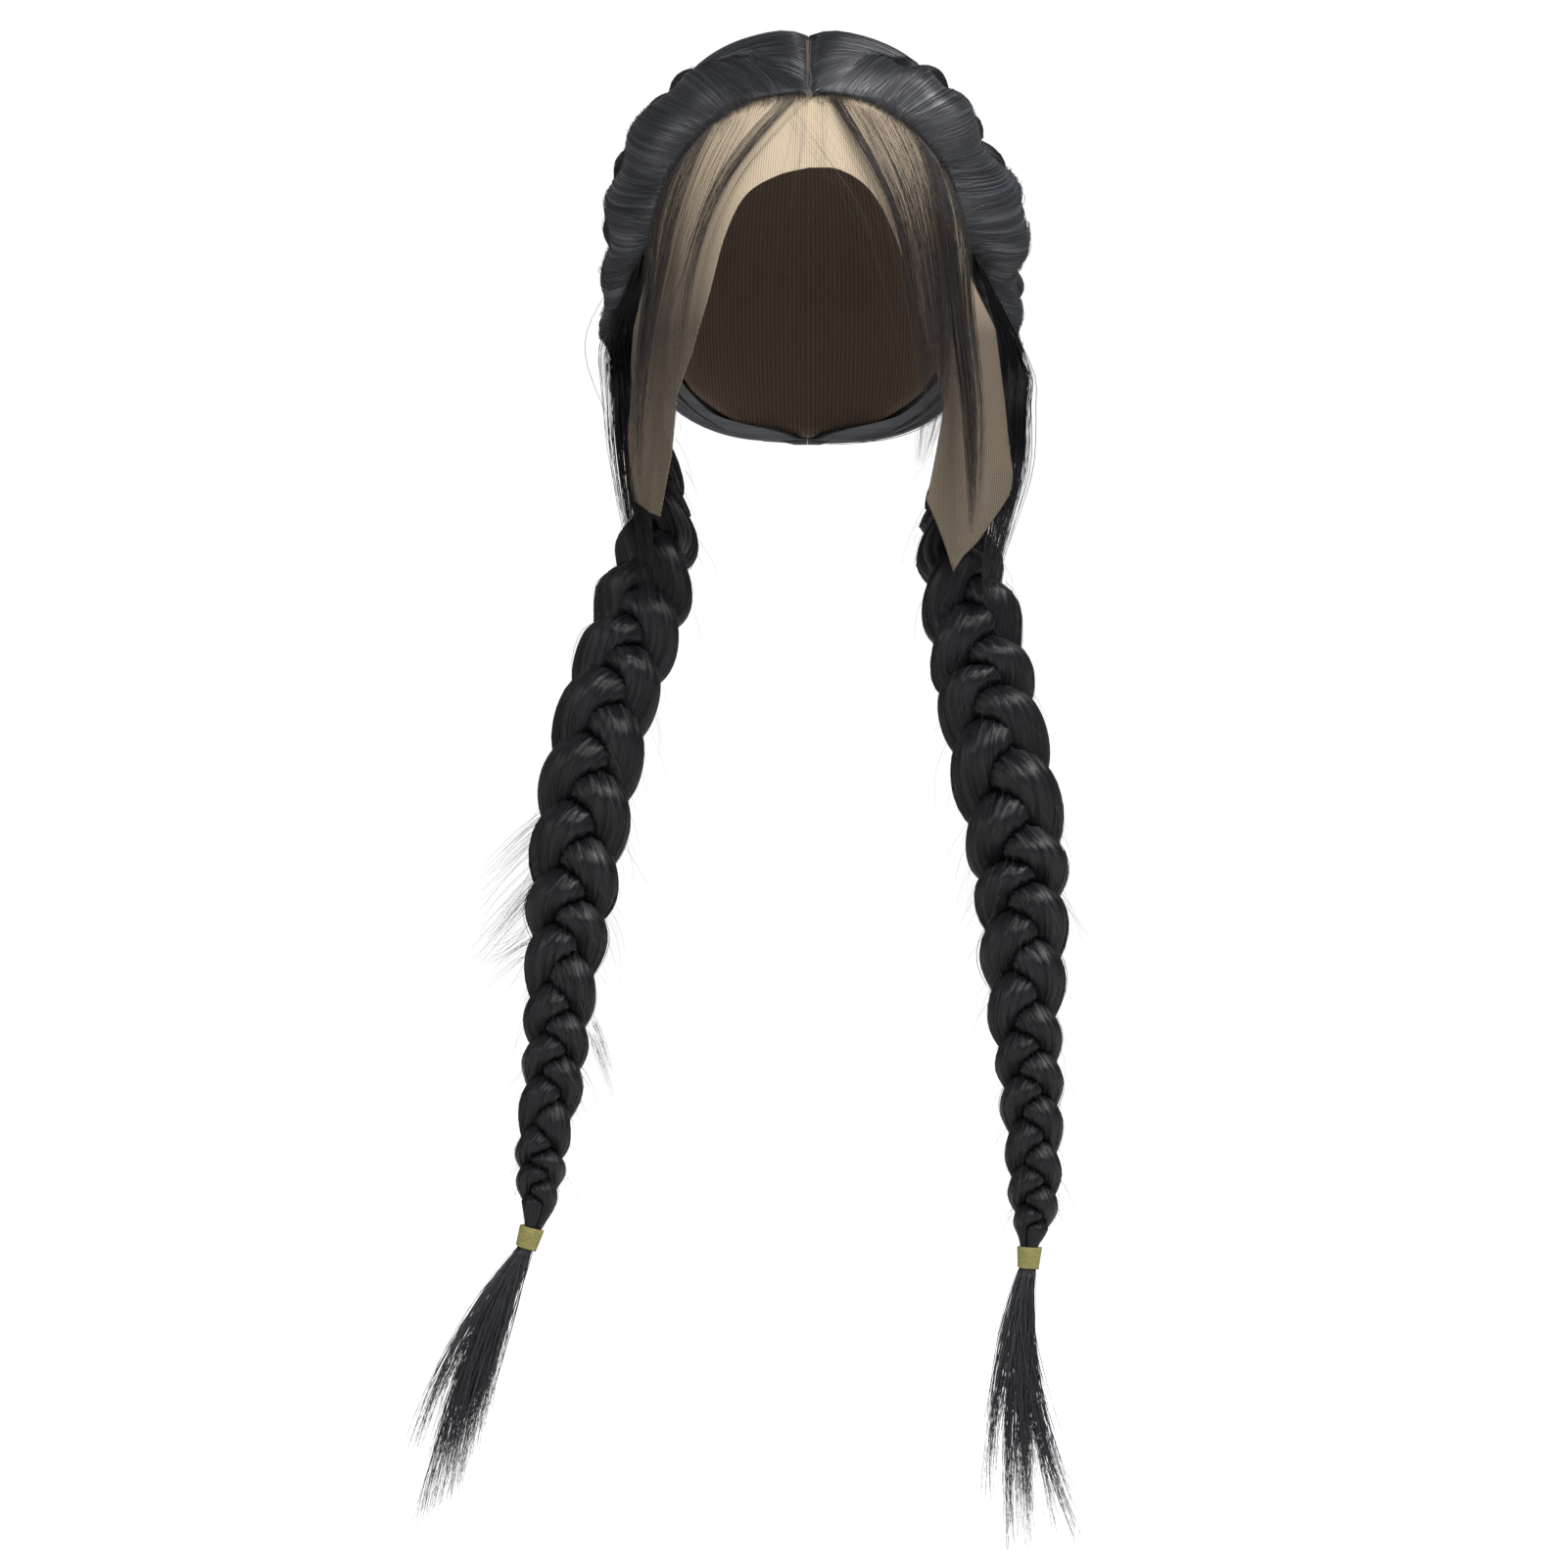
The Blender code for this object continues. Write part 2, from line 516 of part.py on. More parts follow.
def braid_frame(side):
    """Middle line, width, depth share, phase and the sideways and outward axes at each ring."""
    rows = BRAID[side]
    lobes = len(rows) - 1
    axis = tie_axis(side)
    mouth = TIE_CENTRE[side] - axis * TIE_HEIGHT / 2
    middle = TIE_CENTRE[side] - axis * HALF_END_GAP
    fill = (TIE_FILL_WIDTH, TIE_FILL_DEPTH, 0)
    table = np.vstack([rows, (*mouth, *fill), (*middle, *fill)])
    at = np.concatenate([np.arange(lobes * RINGS_PER_LOBE) / RINGS_PER_LOBE,
                         lobes + END_RINGS])
    line = curve_through(table, at)
    step = 0.02
    ahead = curve_through(table[:, :3], np.clip(at + step, 0, len(table) - 1))
    ahead = ahead - curve_through(table[:, :3], np.clip(at - step, 0, len(table) - 1))
    ahead[0] = (-SIDES[side] * START_LEAN, 0.0, -1.0)
    ahead[-2:] = axis
    ahead /= np.linalg.norm(ahead, axis=1)[:, None]
    out = way(line[:, 5], 0 * at)
    out -= (out * ahead).sum(1)[:, None] * ahead
    out /= np.linalg.norm(out, axis=1)[:, None]
    phase = BRAID_PHASE[side] + LOBE_TURN * np.minimum(at, lobes)
    return line[:, :3], line[:, 3], line[:, 4], phase, np.cross(out, ahead), out


def make_strand(side, index, group):
    """One strand: rings that swell to its own ellipse and are pressed flat halfway to its neighbours.

    Each ring is pressed by the walls of the stretch before it and of the stretch after it. A wall faces
    the mean direction of the neighbour over its stretch, so the straight faces between rings stay clear.
    """
    middle, width, depth, phase, sideways, out = braid_frame(side)
    across, outs = strand_places(phase, width, depth)
    turn = np.radians(np.arange(STRAND_SIDES) * 360.0 / STRAND_SIDES)
    ray = np.stack([np.cos(turn), np.sin(turn)], -1)
    half = np.stack([STRAND_HALF * width, DEPTH_HALF * depth * width], -1)
    reach = ((ray[None] / half[:, None]) ** 2).sum(-1) ** -0.5
    ray = ray[None, :, :1] * sideways[:, None] + ray[None, :, 1:] * out[:, None]
    centres = middle[:, None] + across[..., None] * sideways[:, None] + outs[..., None] * out[:, None]
    for other in range(3):
        if other == index:
            continue
        to = centres[:, other] - centres[:, index]
        between = to / np.linalg.norm(to, axis=1)[:, None]
        between = between[1:] + between[:-1]
        between /= np.linalg.norm(between, axis=1)[:, None]
        for wall in (np.vstack([between[:1], between]), np.vstack([between, between[-1:]])):
            facing = (ray * wall[:, None]).sum(-1)
            limit = np.maximum((to * wall).sum(1) / 2 - STRAND_GAP / 2, LEAST_HALF)[:, None]
            pressed = np.minimum(reach, limit / np.maximum(facing, LEAST_FACING))
            reach = np.where(facing > LEAST_FACING, pressed, reach)
    rings = centres[:, index, None] + ray * reach[..., None]
    make_loft("braid_%s_strand_%s" % (side, "abc"[index]), rings, "hair", group)


def make_loft(name, rings, material, group):
    """Closed solid through rings of equal count, with a flat cap at each end."""
    count, sides = rings.shape[:2]
    faces = [tuple(range(sides))[::-1], tuple((count - 1) * sides + i for i in range(sides))]
    for r in range(count - 1):
        for i in range(sides):
            j = (i + 1) % sides
            faces.append((r * sides + i, r * sides + j, (r + 1) * sides + j, (r + 1) * sides + i))
    made = add_object(name, rings.reshape(-1, 3), faces, material, group)
    face_outwards(made)
    return made


def tie_axis(side):
    """Direction of the tie from its top to its foot."""
    lean = np.radians(TIE_LEAN[side])
    return np.array([-np.sin(lean), 0.0, -np.cos(lean)])


def make_tie(side, group):
    """Thread-wound tie: a turned sleeve that narrows downwards, with a ridge for each turn of thread."""
    steps = 2 * TIE_TURNS
    share = np.arange(steps + 1) / steps
    radius = TIE_TOP_RADIUS + (TIE_FOOT_RADIUS - TIE_TOP_RADIUS) * share
    outside = [(r - TIE_RIDGE * (i % 2 == 0), TIE_HEIGHT * (0.5 - s))
               for i, (r, s) in enumerate(zip(radius, share))]
    inside = [(TIE_FOOT_RADIUS - TIE_WALL, -TIE_HEIGHT / 2), (TIE_TOP_RADIUS - TIE_WALL, TIE_HEIGHT / 2)]
    profile = [(r, 0.0, z) for r, z in outside + inside]
    mesh = bpy.data.meshes.new("tie_" + side)
    count = len(profile)
    mesh.from_pydata(profile, [(i, (i + 1) % count) for i in range(count)], [])
    mesh.materials.append(finish("thread"))
    made = bpy.data.objects.new("tie_" + side, mesh)
    group.objects.link(made)
    turned = made.modifiers.new("turn", "SCREW")
    turned.steps = TIE_STEPS
    turned.render_steps = TIE_STEPS
    turned.use_merge_vertices = True
    turned.merge_threshold = MERGE
    turned.use_normal_calculate = True
    made.location = TIE_CENTRE[side]
    made.rotation_euler = (0.0, np.radians(TIE_LEAN[side]), 0.0)


def lock_mesh(name, points, radii, group):
    """Mesh of a round lock along points, from a curve with those radii."""
    curve = bpy.data.curves.new(name, "CURVE")
    curve.dimensions = "3D"
    curve.bevel_depth = 1.0
    curve.bevel_resolution = 1
    curve.use_fill_caps = True
    line = curve.splines.new("POLY")
    line.points.add(len(points) - 1)
    for spot, place, radius in zip(line.points, points, radii):
        spot.co = (*place, 1.0)
        spot.radius = radius
    guide = bpy.data.objects.new(name, curve)
    group.objects.link(guide)
    bpy.context.view_layer.update()
    mesh = bpy.data.meshes.new_from_object(guide.evaluated_get(bpy.context.evaluated_depsgraph_get()))
    work = bmesh.new()
    work.from_mesh(mesh)
    bmesh.ops.remove_doubles(work, verts=work.verts, dist=MERGE)
    bmesh.ops.recalc_face_normals(work, faces=work.faces)
    work.to_mesh(mesh)
    work.free()
    mesh.materials.clear()
    mesh.materials.append(finish("hair"))
    bpy.data.objects.remove(guide, do_unlink=True)
    made = bpy.data.objects.new(name, mesh)
    group.objects.link(made)
    return made


def make_tail(side, group, cutters):
    """Loose end: a round head inside the tie and tapered locks joined to it."""
    axis = tie_axis(side)
    top = TIE_CENTRE[side] + axis * HALF_END_GAP
    foot = TIE_CENTRE[side] + axis * (TIE_HEIGHT / 2 + TAIL_HEAD_LENGTH)
    head_radii = [TAIL_HEAD_RADIUS, TAIL_HEAD_RADIUS * TAIL_HEAD_GROWTH]
    head = lock_mesh("tail_" + side, [top, foot], head_radii, group)
    share = np.linspace(0, 1, TAIL_POINTS)
    rows = TAIL[side]
    for number, (x, y, z, bulge, root, swell) in enumerate(rows):
        tip = np.array([x, y, z])
        around = 2 * np.pi * number / len(rows)
        begin = TIE_CENTRE[side] + axis * (TIE_HEIGHT / 2 + ROOT_DEPTH + ROOT_STAGGER * number)
        begin = begin + ROOT_RING * np.array([np.cos(around), np.sin(around), 0.0])
        control = begin + axis * np.linalg.norm(tip - begin) * TAIL_SPREAD + np.array([bulge, 0, 0])
        s = share[:, None]
        points = (1 - s) ** 2 * begin + 2 * s * (1 - s) * control + s * s * tip
        rise = np.sin(np.pi * np.minimum(share * TAIL_SWELL_RATE, 1.0)) ** TAIL_SWELL_POWER
        taper = ease((share - TAIL_TAPER_FROM) / (1.0 - TAIL_TAPER_FROM))
        radii = (root + (swell - root) * rise) * (1 - (1 - TAIL_TIP) * taper)
        lock = lock_mesh("tail_%s_lock_%d" % (side, number), points, radii, cutters)
        lock.hide_render = True
        lock.display_type = "WIRE"
        joined = head.modifiers.new("join", "BOOLEAN")
        joined.operation = "UNION"
        joined.object = lock


def make_sheet_lock(name, grid, front, group):
    """Flat lock: an open sheet with a wall that grows towards `front`."""
    faces = grid_faces(grid.shape[0], grid.shape[1])
    made = add_object(name, grid.reshape(-1, 3), faces, "hair", group)
    a, b, c = grid[0, 0], grid[1, 0], grid[0, 1]
    if np.cross(b - a, c - a) @ front < 0:
        made.data.flip_normals()
    thicken(made, LOCK_WALL)


def under_hairline(azimuth, offset):
    """Height of points just in front of the hairline, at azimuths on one side."""
    table = HAIRLINE["left" if azimuth[0] < 0 else "right"]
    start = np.interp(np.abs(azimuth), table[:, 0], table[:, 1])
    slope = np.gradient(start, np.abs(azimuth))
    start = start - LOCK_ROOT_GAP * np.sqrt(1 + slope ** 2)
    return on_head(way(azimuth, start), np.full_like(start, offset))[:, 2]


def make_bang(name, group):
    """Front lock: a sheet between an inner and an outer edge that start under the hairline."""
    rows = BANGS[name].copy()
    across = np.linspace(0, 1, LOCK_COLUMNS + 1)[None, :]
    root_azimuth = rows[0, 0] + (rows[0, 2] - rows[0, 0]) * across[0]
    root_height = under_hairline(root_azimuth, rows[0, 4])
    rows[0, [1, 3]] = root_height[[0, -1]]
    lines = curve_through(rows, np.linspace(0, len(rows) - 1, LOCK_ROWS + 1))
    azimuth = lines[:, :1] + (lines[:, 2:3] - lines[:, :1]) * across
    height = lines[:, 1:2] + (lines[:, 3:4] - lines[:, 1:2]) * across
    height[0] = root_height
    offset = np.broadcast_to(lines[:, 4:5], azimuth.shape)
    grid = on_drape(azimuth, height, offset)
    make_sheet_lock(name, grid, grid[0, 0] - HEAD_CENTRE, group)


def make_side_lock(name, group):
    """Side lock: a sheet of given width that hangs behind the lace tab and ends on the braid."""
    rows = SIDE_LOCKS[name]
    lines = curve_through(rows, np.linspace(0, len(rows) - 1, LOCK_ROWS + 1))
    across = np.linspace(-0.5, 0.5, LOCK_COLUMNS + 1)
    grid = np.repeat(lines[:, None, :3], LOCK_COLUMNS + 1, axis=1)
    grid[..., 0] += lines[:, 3:4] * across
    grid[..., 1] += lines[:, 3:4] * (2 * across) ** 2 * LOCK_BOW
    make_sheet_lock(name, grid, np.array([0.0, -1.0, 0.0]), group)


def main():
    clear_scene()
    group = bpy.data.collections.new("braid_wig")
    cutters = bpy.data.collections.new("joined_locks")
    for made in (group, cutters):
        bpy.context.scene.collection.children.link(made)
    make_cap(group)
    make_lace(group)
    for side in SIDES:
        make_hair(side, group)
        for index in range(3):
            make_strand(side, index, group)
        make_tie(side, group)
        make_tail(side, group, cutters)
    for name in BANGS:
        make_bang(name, group)
    for name in SIDE_LOCKS:
        make_side_lock(name, group)


main()
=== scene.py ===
"""Braid wig: the looks of the hair, lace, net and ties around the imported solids.

Metres, +Z up. The wig faces -Y, its left braid in a front view is at -X, and the origin is the top of
the head form, on the cap's inner face.
"""

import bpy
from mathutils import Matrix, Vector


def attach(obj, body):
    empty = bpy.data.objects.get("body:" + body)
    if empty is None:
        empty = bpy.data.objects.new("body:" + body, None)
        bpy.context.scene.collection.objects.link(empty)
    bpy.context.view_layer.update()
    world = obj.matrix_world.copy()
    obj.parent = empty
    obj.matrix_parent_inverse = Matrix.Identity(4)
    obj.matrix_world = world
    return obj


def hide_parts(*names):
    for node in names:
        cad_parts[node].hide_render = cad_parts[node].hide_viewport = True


bl_info = {
    "name": "Braid Wig",
    "version": (1, 0, 0),
    "blender": (4, 5, 0),
    "location": "View3D > Sidebar > Braid Wig",
    "description": "Makes a lace-front wig with a centre part and two three-strand braids",
    "category": "Add Mesh",
}

import bpy
import numpy as np
from bpy.props import FloatProperty, FloatVectorProperty, IntProperty, PointerProperty

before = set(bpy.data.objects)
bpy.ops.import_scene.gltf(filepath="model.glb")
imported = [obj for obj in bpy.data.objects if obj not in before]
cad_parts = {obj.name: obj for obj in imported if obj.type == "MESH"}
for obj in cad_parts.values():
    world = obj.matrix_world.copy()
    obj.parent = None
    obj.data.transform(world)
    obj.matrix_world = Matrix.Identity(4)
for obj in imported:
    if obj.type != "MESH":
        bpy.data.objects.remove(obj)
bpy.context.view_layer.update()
BODY = "root"
SIDES = {"left": -1.0, "right": 1.0}

# Head form that the wig is worn on: a superellipsoid
HEAD_CENTRE = np.array([0.0, 0.004, -0.1])
HEAD_HALF = np.array([0.074, 0.093, 0.1])
HEAD_DROP = 0.14
HEAD_POWER = 2.3
HAIR_CLEAR = 0.0029
HAIR_EDGE = 0.0045
LACE_MIDDLE = 0.0007
CAP_WALL = 0.0015

# Seam between the cap and the lace, and the cap's rim behind it: azimuth from the front and elevation
SEAM = np.array([
    (0, 51.0), (9, 50.8), (18, 50.0), (27, 47.4), (36, 43.2), (45, 36.6),
    (52, 29.5), (59, 21.0), (66, 16.0), (73, 12.5), (80, 9.0),
])
RIM = np.array([
    (90, -2.0), (105, -9.0), (122, -16.0), (140, -29.0), (160, -36.0), (180, -38.0),
])

# Hairline from the part to the ear, then the lower edge of the hair to the nape: azimuth, elevation
HAIRLINE_FRONT = ((3, 46.0), (20, 45.0), (30, 42.0), (40, 36.5), (50, 28.0), (57, 15.5), (69, 8.0), (80, 3.0))
HAIRLINE_NAPE = ((150, -34.0), (176, -39.0))
HAIRLINE = {
    "left": np.array([*HAIRLINE_FRONT, (87, -6.0), (91, -15.5), (103, -16.5), (116, -18.0), (128, -24.0),
                      *HAIRLINE_NAPE]),
    "right": np.array([*HAIRLINE_FRONT, (87, -8.0), (91, -21.5), (103, -22.5), (116, -23.5), (128, -26.0),
                       *HAIRLINE_NAPE]),
}

# Lower edge of the lace, one row for each seam row: azimuth, height above the origin
LACE_EDGE = {
    "left": np.array([
        (0, -0.06), (9, -0.0635), (18, -0.072), (24, -0.09), (29.5, -0.117), (36, -0.142),
        (43, -0.16), (46, -0.186), (54, -0.213), (68, -0.2075), (80, -0.2),
    ]),
    "right": np.array([
        (0, -0.06), (9, -0.061), (18, -0.071), (25.6, -0.094), (31, -0.118), (38, -0.14),
        (45, -0.163), (36, -0.207), (51, -0.238), (68, -0.216), (80, -0.19),
    ]),
}
# How far the outer edge of each free tab stands off the head, by height
LACE_FLARE = {
    "left": np.array([(-0.1, 0.0), (-0.125, 0.006), (-0.175, 0.01), (-0.213, 0.006)]),
    "right": np.array([(-0.1, 0.0), (-0.125, 0.0115), (-0.19, 0.02), (-0.238, 0.016)]),
}
FLARE_FROM, FLARE_TO = 50.0, 80.0
SEAM_GAP = 0.4
LACE_ROWS = 90
TAB_TOP = -0.135
FOREHEAD_RADIUS = 0.082
PART_THREAD_GAP = 0.00085

# Braid on the head: azimuth, elevation, width, height of its middle plane over the head form
HEAD_BRAID = {
    "left": np.array([
        (30, 66, 0.022, 0.0085), (56, 52, 0.031, 0.0085), (76, 35, 0.036, 0.011),
        (89, 14, 0.038, 0.0115), (97, -8, 0.038, 0.012), (103, -27, 0.036, 0.0125),
    ]),
    "right": np.array([
        (30, 66, 0.022, 0.0085), (54, 52, 0.032, 0.0095), (75, 35, 0.038, 0.0115),
        (90, 14, 0.042, 0.016), (97, -8, 0.041, 0.014), (103, -30, 0.038, 0.013),
    ]),
}
HEAD_BRAID_DEPTH = 0.6

# Hair over the head form: heights in metres, reaches in degrees of arc
CROWN_SWELL = 0.0125
SIDE_SWELL = 0.0075
SWELL_LOW, SWELL_HIGH = 10.0, 70.0
SWELL_REACH = 34.0
SWELL_ROUND = 0.7
PART_DIP = 0.0028
PART_DIP_WIDTH = 0.006
PART_DIP_REACH = 8.0
SURFACE_LEVEL = 0.008
# Bare part: half width in front, and the angles over the head between which it closes
PART_OPEN = 0.0012
PART_CLOSES, PART_RUN = 76.0, 7.0
# Fibres from the part: angle over the head of the first, and the angle that they take up
PART_FIRST, PART_SPAN = 45.0, 173.0
# Shell under the fibres: how much lower it lies, how far it stays behind the hairline in radians, and the
# hairline's rows over which that ends
SHELL_SINK = 0.0014
SHELL_BACK = 0.085
SHELL_ROW, SHELL_RUN = 8.5, 1.5
# Sheets of hair over the shell: their wall, and the least heights over the cap of sheets, hairs and strands
COVER_WALL = 0.0009
COVER_CLEAR = 0.0003
HAIR_ABOVE_CAP = 0.0006
STRAND_ABOVE_CAP = 0.0004

# Height of the sections in front of the braid, by share along the braid
SECTION_TOP = {
    "left": np.array([
        (0.00, 0.011), (0.06, 0.0115), (0.12, 0.014), (0.22, 0.018), (0.3, 0.0205), (0.38, 0.02),
        (0.46, 0.022), (0.55, 0.0205), (0.66, 0.0225), (0.78, 0.024), (0.88, 0.0235), (0.96, 0.017),
    ]),
    "right": np.array([
        (0.00, 0.011), (0.08, 0.0115), (0.15, 0.0155), (0.24, 0.0195), (0.33, 0.018), (0.42, 0.025),
        (0.52, 0.0295), (0.6, 0.028), (0.66, 0.024), (0.74, 0.0265), (0.86, 0.027), (0.96, 0.018),
    ]),
}
# Shares along the braid where one section ends and the next begins
SECTION_ENDS = {
    "left": np.array([-0.06, 0.06, 0.2, 0.38, 0.55, 0.72, 0.9, 1.04]),
    "right": np.array([-0.06, 0.08, 0.2, 0.33, 0.5, 0.66, 0.8, 0.92, 1.04]),
}
SECTION_PULL = 0.55
PART_PULL = 0.35
CREASE = 0.0022
# Hairline: rows that fibres leave from, and the rows where the nape hair begins
LINE_ROWS = 13.95
NAPE_FROM, NAPE_RUN = 9.5, 1.5
# Share of a fibre's way where one from the part dives under the braid
DIVE_FROM = 0.88

# The braid itself behind the sections' tops: degrees for each row, how much lower it lies, and its lobes
BRAID_BEHIND = np.array([5.0, 12.0, 20.0, 22.0, 15.0, 4.0])
BRAID_SINK = 0.004
SEEN_LOBES = 6.5

# Where hair meets the braid: from the part by angle over the head, and from the hairline by table row
PART_FEED = np.array([
    (46, 0.0), (62, 0.06), (80, 0.16), (100, 0.3), (125, 0.48), (150, 0.66), (185, 0.86), (219, 0.97),
])
LINE_FEED = np.array([
    (0, 0.02), (1, 0.11), (2, 0.19), (3, 0.28), (4, 0.37), (5, 0.48), (6, 0.58), (7, 0.67),
    (8, 0.76), (9, 0.84), (10, 0.9), (11, 0.94), (12, 0.96), (13, 0.96), (14, 0.95),
])

# Hanging braids, a row for each notch on the outer edge: x, y, z, width
BRAID = {
    "left": np.array([
        (-0.08, 0.022, -0.1267, 0.034), (-0.0755, 0.031, -0.1575, 0.035), (-0.067, 0.027, -0.19, 0.036),
        (-0.069, 0.008, -0.2165, 0.037), (-0.074, -0.0095, -0.242, 0.041), (-0.081, -0.025, -0.268, 0.041),
        (-0.0895, -0.038, -0.293, 0.041), (-0.097, -0.05, -0.323, 0.042), (-0.1025, -0.058, -0.352, 0.041),
        (-0.1063, -0.064, -0.381, 0.0385), (-0.1087, -0.0665, -0.404, 0.0345),
        (-0.1118, -0.0685, -0.431, 0.03), (-0.1132, -0.07, -0.451, 0.0275), (-0.1152, -0.07, -0.47, 0.026),
        (-0.119, -0.07, -0.493, 0.023), (-0.1203, -0.07, -0.507, 0.021), (-0.1216, -0.07, -0.521, 0.016),
    ]),
    "right": np.array([
        (0.084, 0.022, -0.138, 0.036), (0.076, 0.032, -0.169, 0.036), (0.066, 0.027, -0.199, 0.037),
        (0.069, 0.006, -0.224, 0.039), (0.0732, -0.014, -0.2495, 0.042), (0.0783, -0.03, -0.278, 0.043),
        (0.0815, -0.0405, -0.2997, 0.043), (0.0883, -0.052, -0.331, 0.045), (0.0935, -0.06, -0.3635, 0.043),
        (0.0951, -0.064, -0.3855, 0.039), (0.0964, -0.067, -0.412, 0.037), (0.0967, -0.069, -0.439, 0.031),
        (0.0985, -0.07, -0.4594, 0.0285), (0.0996, -0.07, -0.4786, 0.0265), (0.1005, -0.07, -0.4996, 0.024),
        (0.1006, -0.07, -0.518, 0.022), (0.1, -0.07, -0.532, 0.016),
    ]),
}
# Both braids, for the same rows: depth as a share of the width, and the azimuth that they face outwards
BRAID_DEPTH = np.array([
    0.62, 0.62, 0.62, 0.62, 0.62, 0.6, 0.6, 0.6, 0.6,
    0.6, 0.6, 0.62, 0.64, 0.66, 0.7, 0.72, 0.8,
])
BRAID_FACES = np.array([100, 90, 70, 48, 26, 9, 0, 0, 0, 0, 0, 0, 0, 0, 0, 0, 0])
BRAID_PHASE = {"left": 90.0, "right": 30.0}
LOBE_TURN = 120.0

# Ties: middle, lean from upright in the front view, radii and height
TIE_CENTRE = {
    "left": np.array([-0.1253, -0.07, -0.5369]),
    "right": np.array([0.0983, -0.07, -0.5457]),
}
TIE_LEAN = {"left": 17.0, "right": 4.0}
TIE_HEIGHT = 0.0105
TIE_TOP_RADIUS = 0.0055
TIE_FOOT_RADIUS = 0.0047
TIE_FILL_WIDTH = 0.0082
TIE_FILL_DEPTH = 0.96

# Tails: a row for each lock: tip x, y, z, sideways bulge at the middle, share of the hairs
TAIL = {
    "left": np.array([
        (-0.1788, -0.07, -0.635, -0.024, 0.14), (-0.1744, -0.066, -0.6666, -0.019, 0.18),
        (-0.165, -0.074, -0.6574, -0.013, 0.22), (-0.1586, -0.068, -0.6521, -0.007, 0.18),
        (-0.1503, -0.073, -0.6306, -0.001, 0.14), (-0.162, -0.062, -0.64, -0.011, 0.14),
    ]),
    "right": np.array([
        (0.0792, -0.07, -0.656, -0.013, 0.15), (0.0895, -0.066, -0.682, -0.009, 0.19),
        (0.0976, -0.074, -0.675, -0.003, 0.2), (0.112, -0.068, -0.671, -0.003, 0.16),
        (0.1226, -0.072, -0.678, -0.007, 0.15), (0.099, -0.061, -0.66, -0.002, 0.15),
    ]),
}

# Front locks: azimuth and height of the inner edge, azimuth and height of the outer edge, stand-off
BANGS = {
    "bang_left_inner": np.array([
        (-5, -0.0275, -11, -0.0285, 0.002), (-14, -0.046, -19, -0.046, 0.0036),
        (-22, -0.066, -26.5, -0.066, 0.0045), (-28, -0.09, -32, -0.09, 0.006),
        (-32.5, -0.115, -36.5, -0.115, 0.006), (-35, -0.141, -39.5, -0.141, 0.006),
        (-38, -0.165, -41.5, -0.165, 0.006), (-41, -0.188, -42.5, -0.188, 0.006),
    ]),
    "bang_left_outer": np.array([
        (-33, -0.038, -52, -0.062, 0.0026), (-38, -0.07, -54, -0.08, 0.0042),
        (-43, -0.1, -56, -0.108, 0.006), (-48, -0.13, -58, -0.134, 0.008),
        (-51, -0.16, -59, -0.16, 0.01), (-52, -0.184, -57, -0.184, 0.011),
        (-51.5, -0.203, -53.5, -0.203, 0.011),
    ]),
    "bang_right_inner": np.array([
        (8, -0.0275, 36, -0.041, 0.0026), (16, -0.056, 37, -0.062, 0.004),
        (22, -0.08, 38, -0.084, 0.005), (26, -0.11, 40, -0.112, 0.006),
        (29, -0.135, 41, -0.135, 0.006), (31, -0.16, 40, -0.16, 0.006),
        (30, -0.178, 36, -0.178, 0.006), (29, -0.193, 31, -0.193, 0.006),
    ]),
    "bang_right_outer": np.array([
        (38, -0.043, 55, -0.068, 0.0026), (38.8, -0.08, 56, -0.09, 0.0042),
        (40.5, -0.11, 56, -0.116, 0.006), (42, -0.14, 56, -0.142, 0.009),
        (43, -0.165, 55, -0.165, 0.012), (44, -0.19, 53, -0.19, 0.013),
        (45, -0.208, 51, -0.208, 0.013), (46, -0.222, 48, -0.222, 0.013),
    ]),
}
# Front locks: hairs, clumps, part of them in the dense edge, width of that edge, part fanned to the middle
BANG_HAIRS = {
    "bang_left_inner": (66, 3, 0.0, 0.1, 0.06), "bang_left_outer": (225, 8, 0.25, 0.9, 0.2),
    "bang_right_inner": (340, 12, 0.26, 0.12, 0.02), "bang_right_outer": (370, 7, 0.6, 0.45, 0.0),
}

# Side locks: x, y, z, width
SIDE_LOCKS = {
    "side_lock_left": np.array([
        (-0.083, 0.0005, -0.1248, 0.015), (-0.0805, -0.012, -0.151, 0.015),
        (-0.08, -0.012, -0.177, 0.015), (-0.0785, -0.016, -0.204, 0.013),
        (-0.0755, -0.027, -0.229, 0.01), (-0.0715, -0.043, -0.256, 0.006),
    ]),
    "side_lock_right": np.array([
        (0.0925, 0.0019, -0.1376, 0.012), (0.0915, -0.0028, -0.16, 0.013),
        (0.091, -0.006, -0.188, 0.012), (0.0865, -0.016, -0.212, 0.011),
        (0.0825, -0.035, -0.235, 0.008), (0.0807, -0.048, -0.256, 0.004),
    ]),
}

# Tufts on the left braid: root x and z, tip x and z, hairs
TUFTS = np.array([
    (-0.1205, -0.3534, -0.148, -0.38, 34), (-0.1215, -0.379, -0.152, -0.412, 46),
    (-0.126, -0.404, -0.146, -0.418, 26), (-0.0975, -0.444, -0.087, -0.47, 30),
    (-0.0905, -0.31, -0.083, -0.329, 14),
])
TUFT_ROOT_Y, TUFT_TIP_Y = -0.056, -0.062

# Stage: the camera's place, and each lamp's place, what it points at and its size
CAMERA = (-0.01122, -2.26, -0.3339)
LAMPS = {
    "key": ((0.85, -1.9, 1.25), (0.0, 0.0, -0.25), 1.1),
    "fill": ((-1.7, -1.7, 0.35), (0.0, 0.0, -0.3), 1.3),
    "top": ((1.0, -0.5, 1.5), (0.0, 0.0, -0.1), 0.8),
}

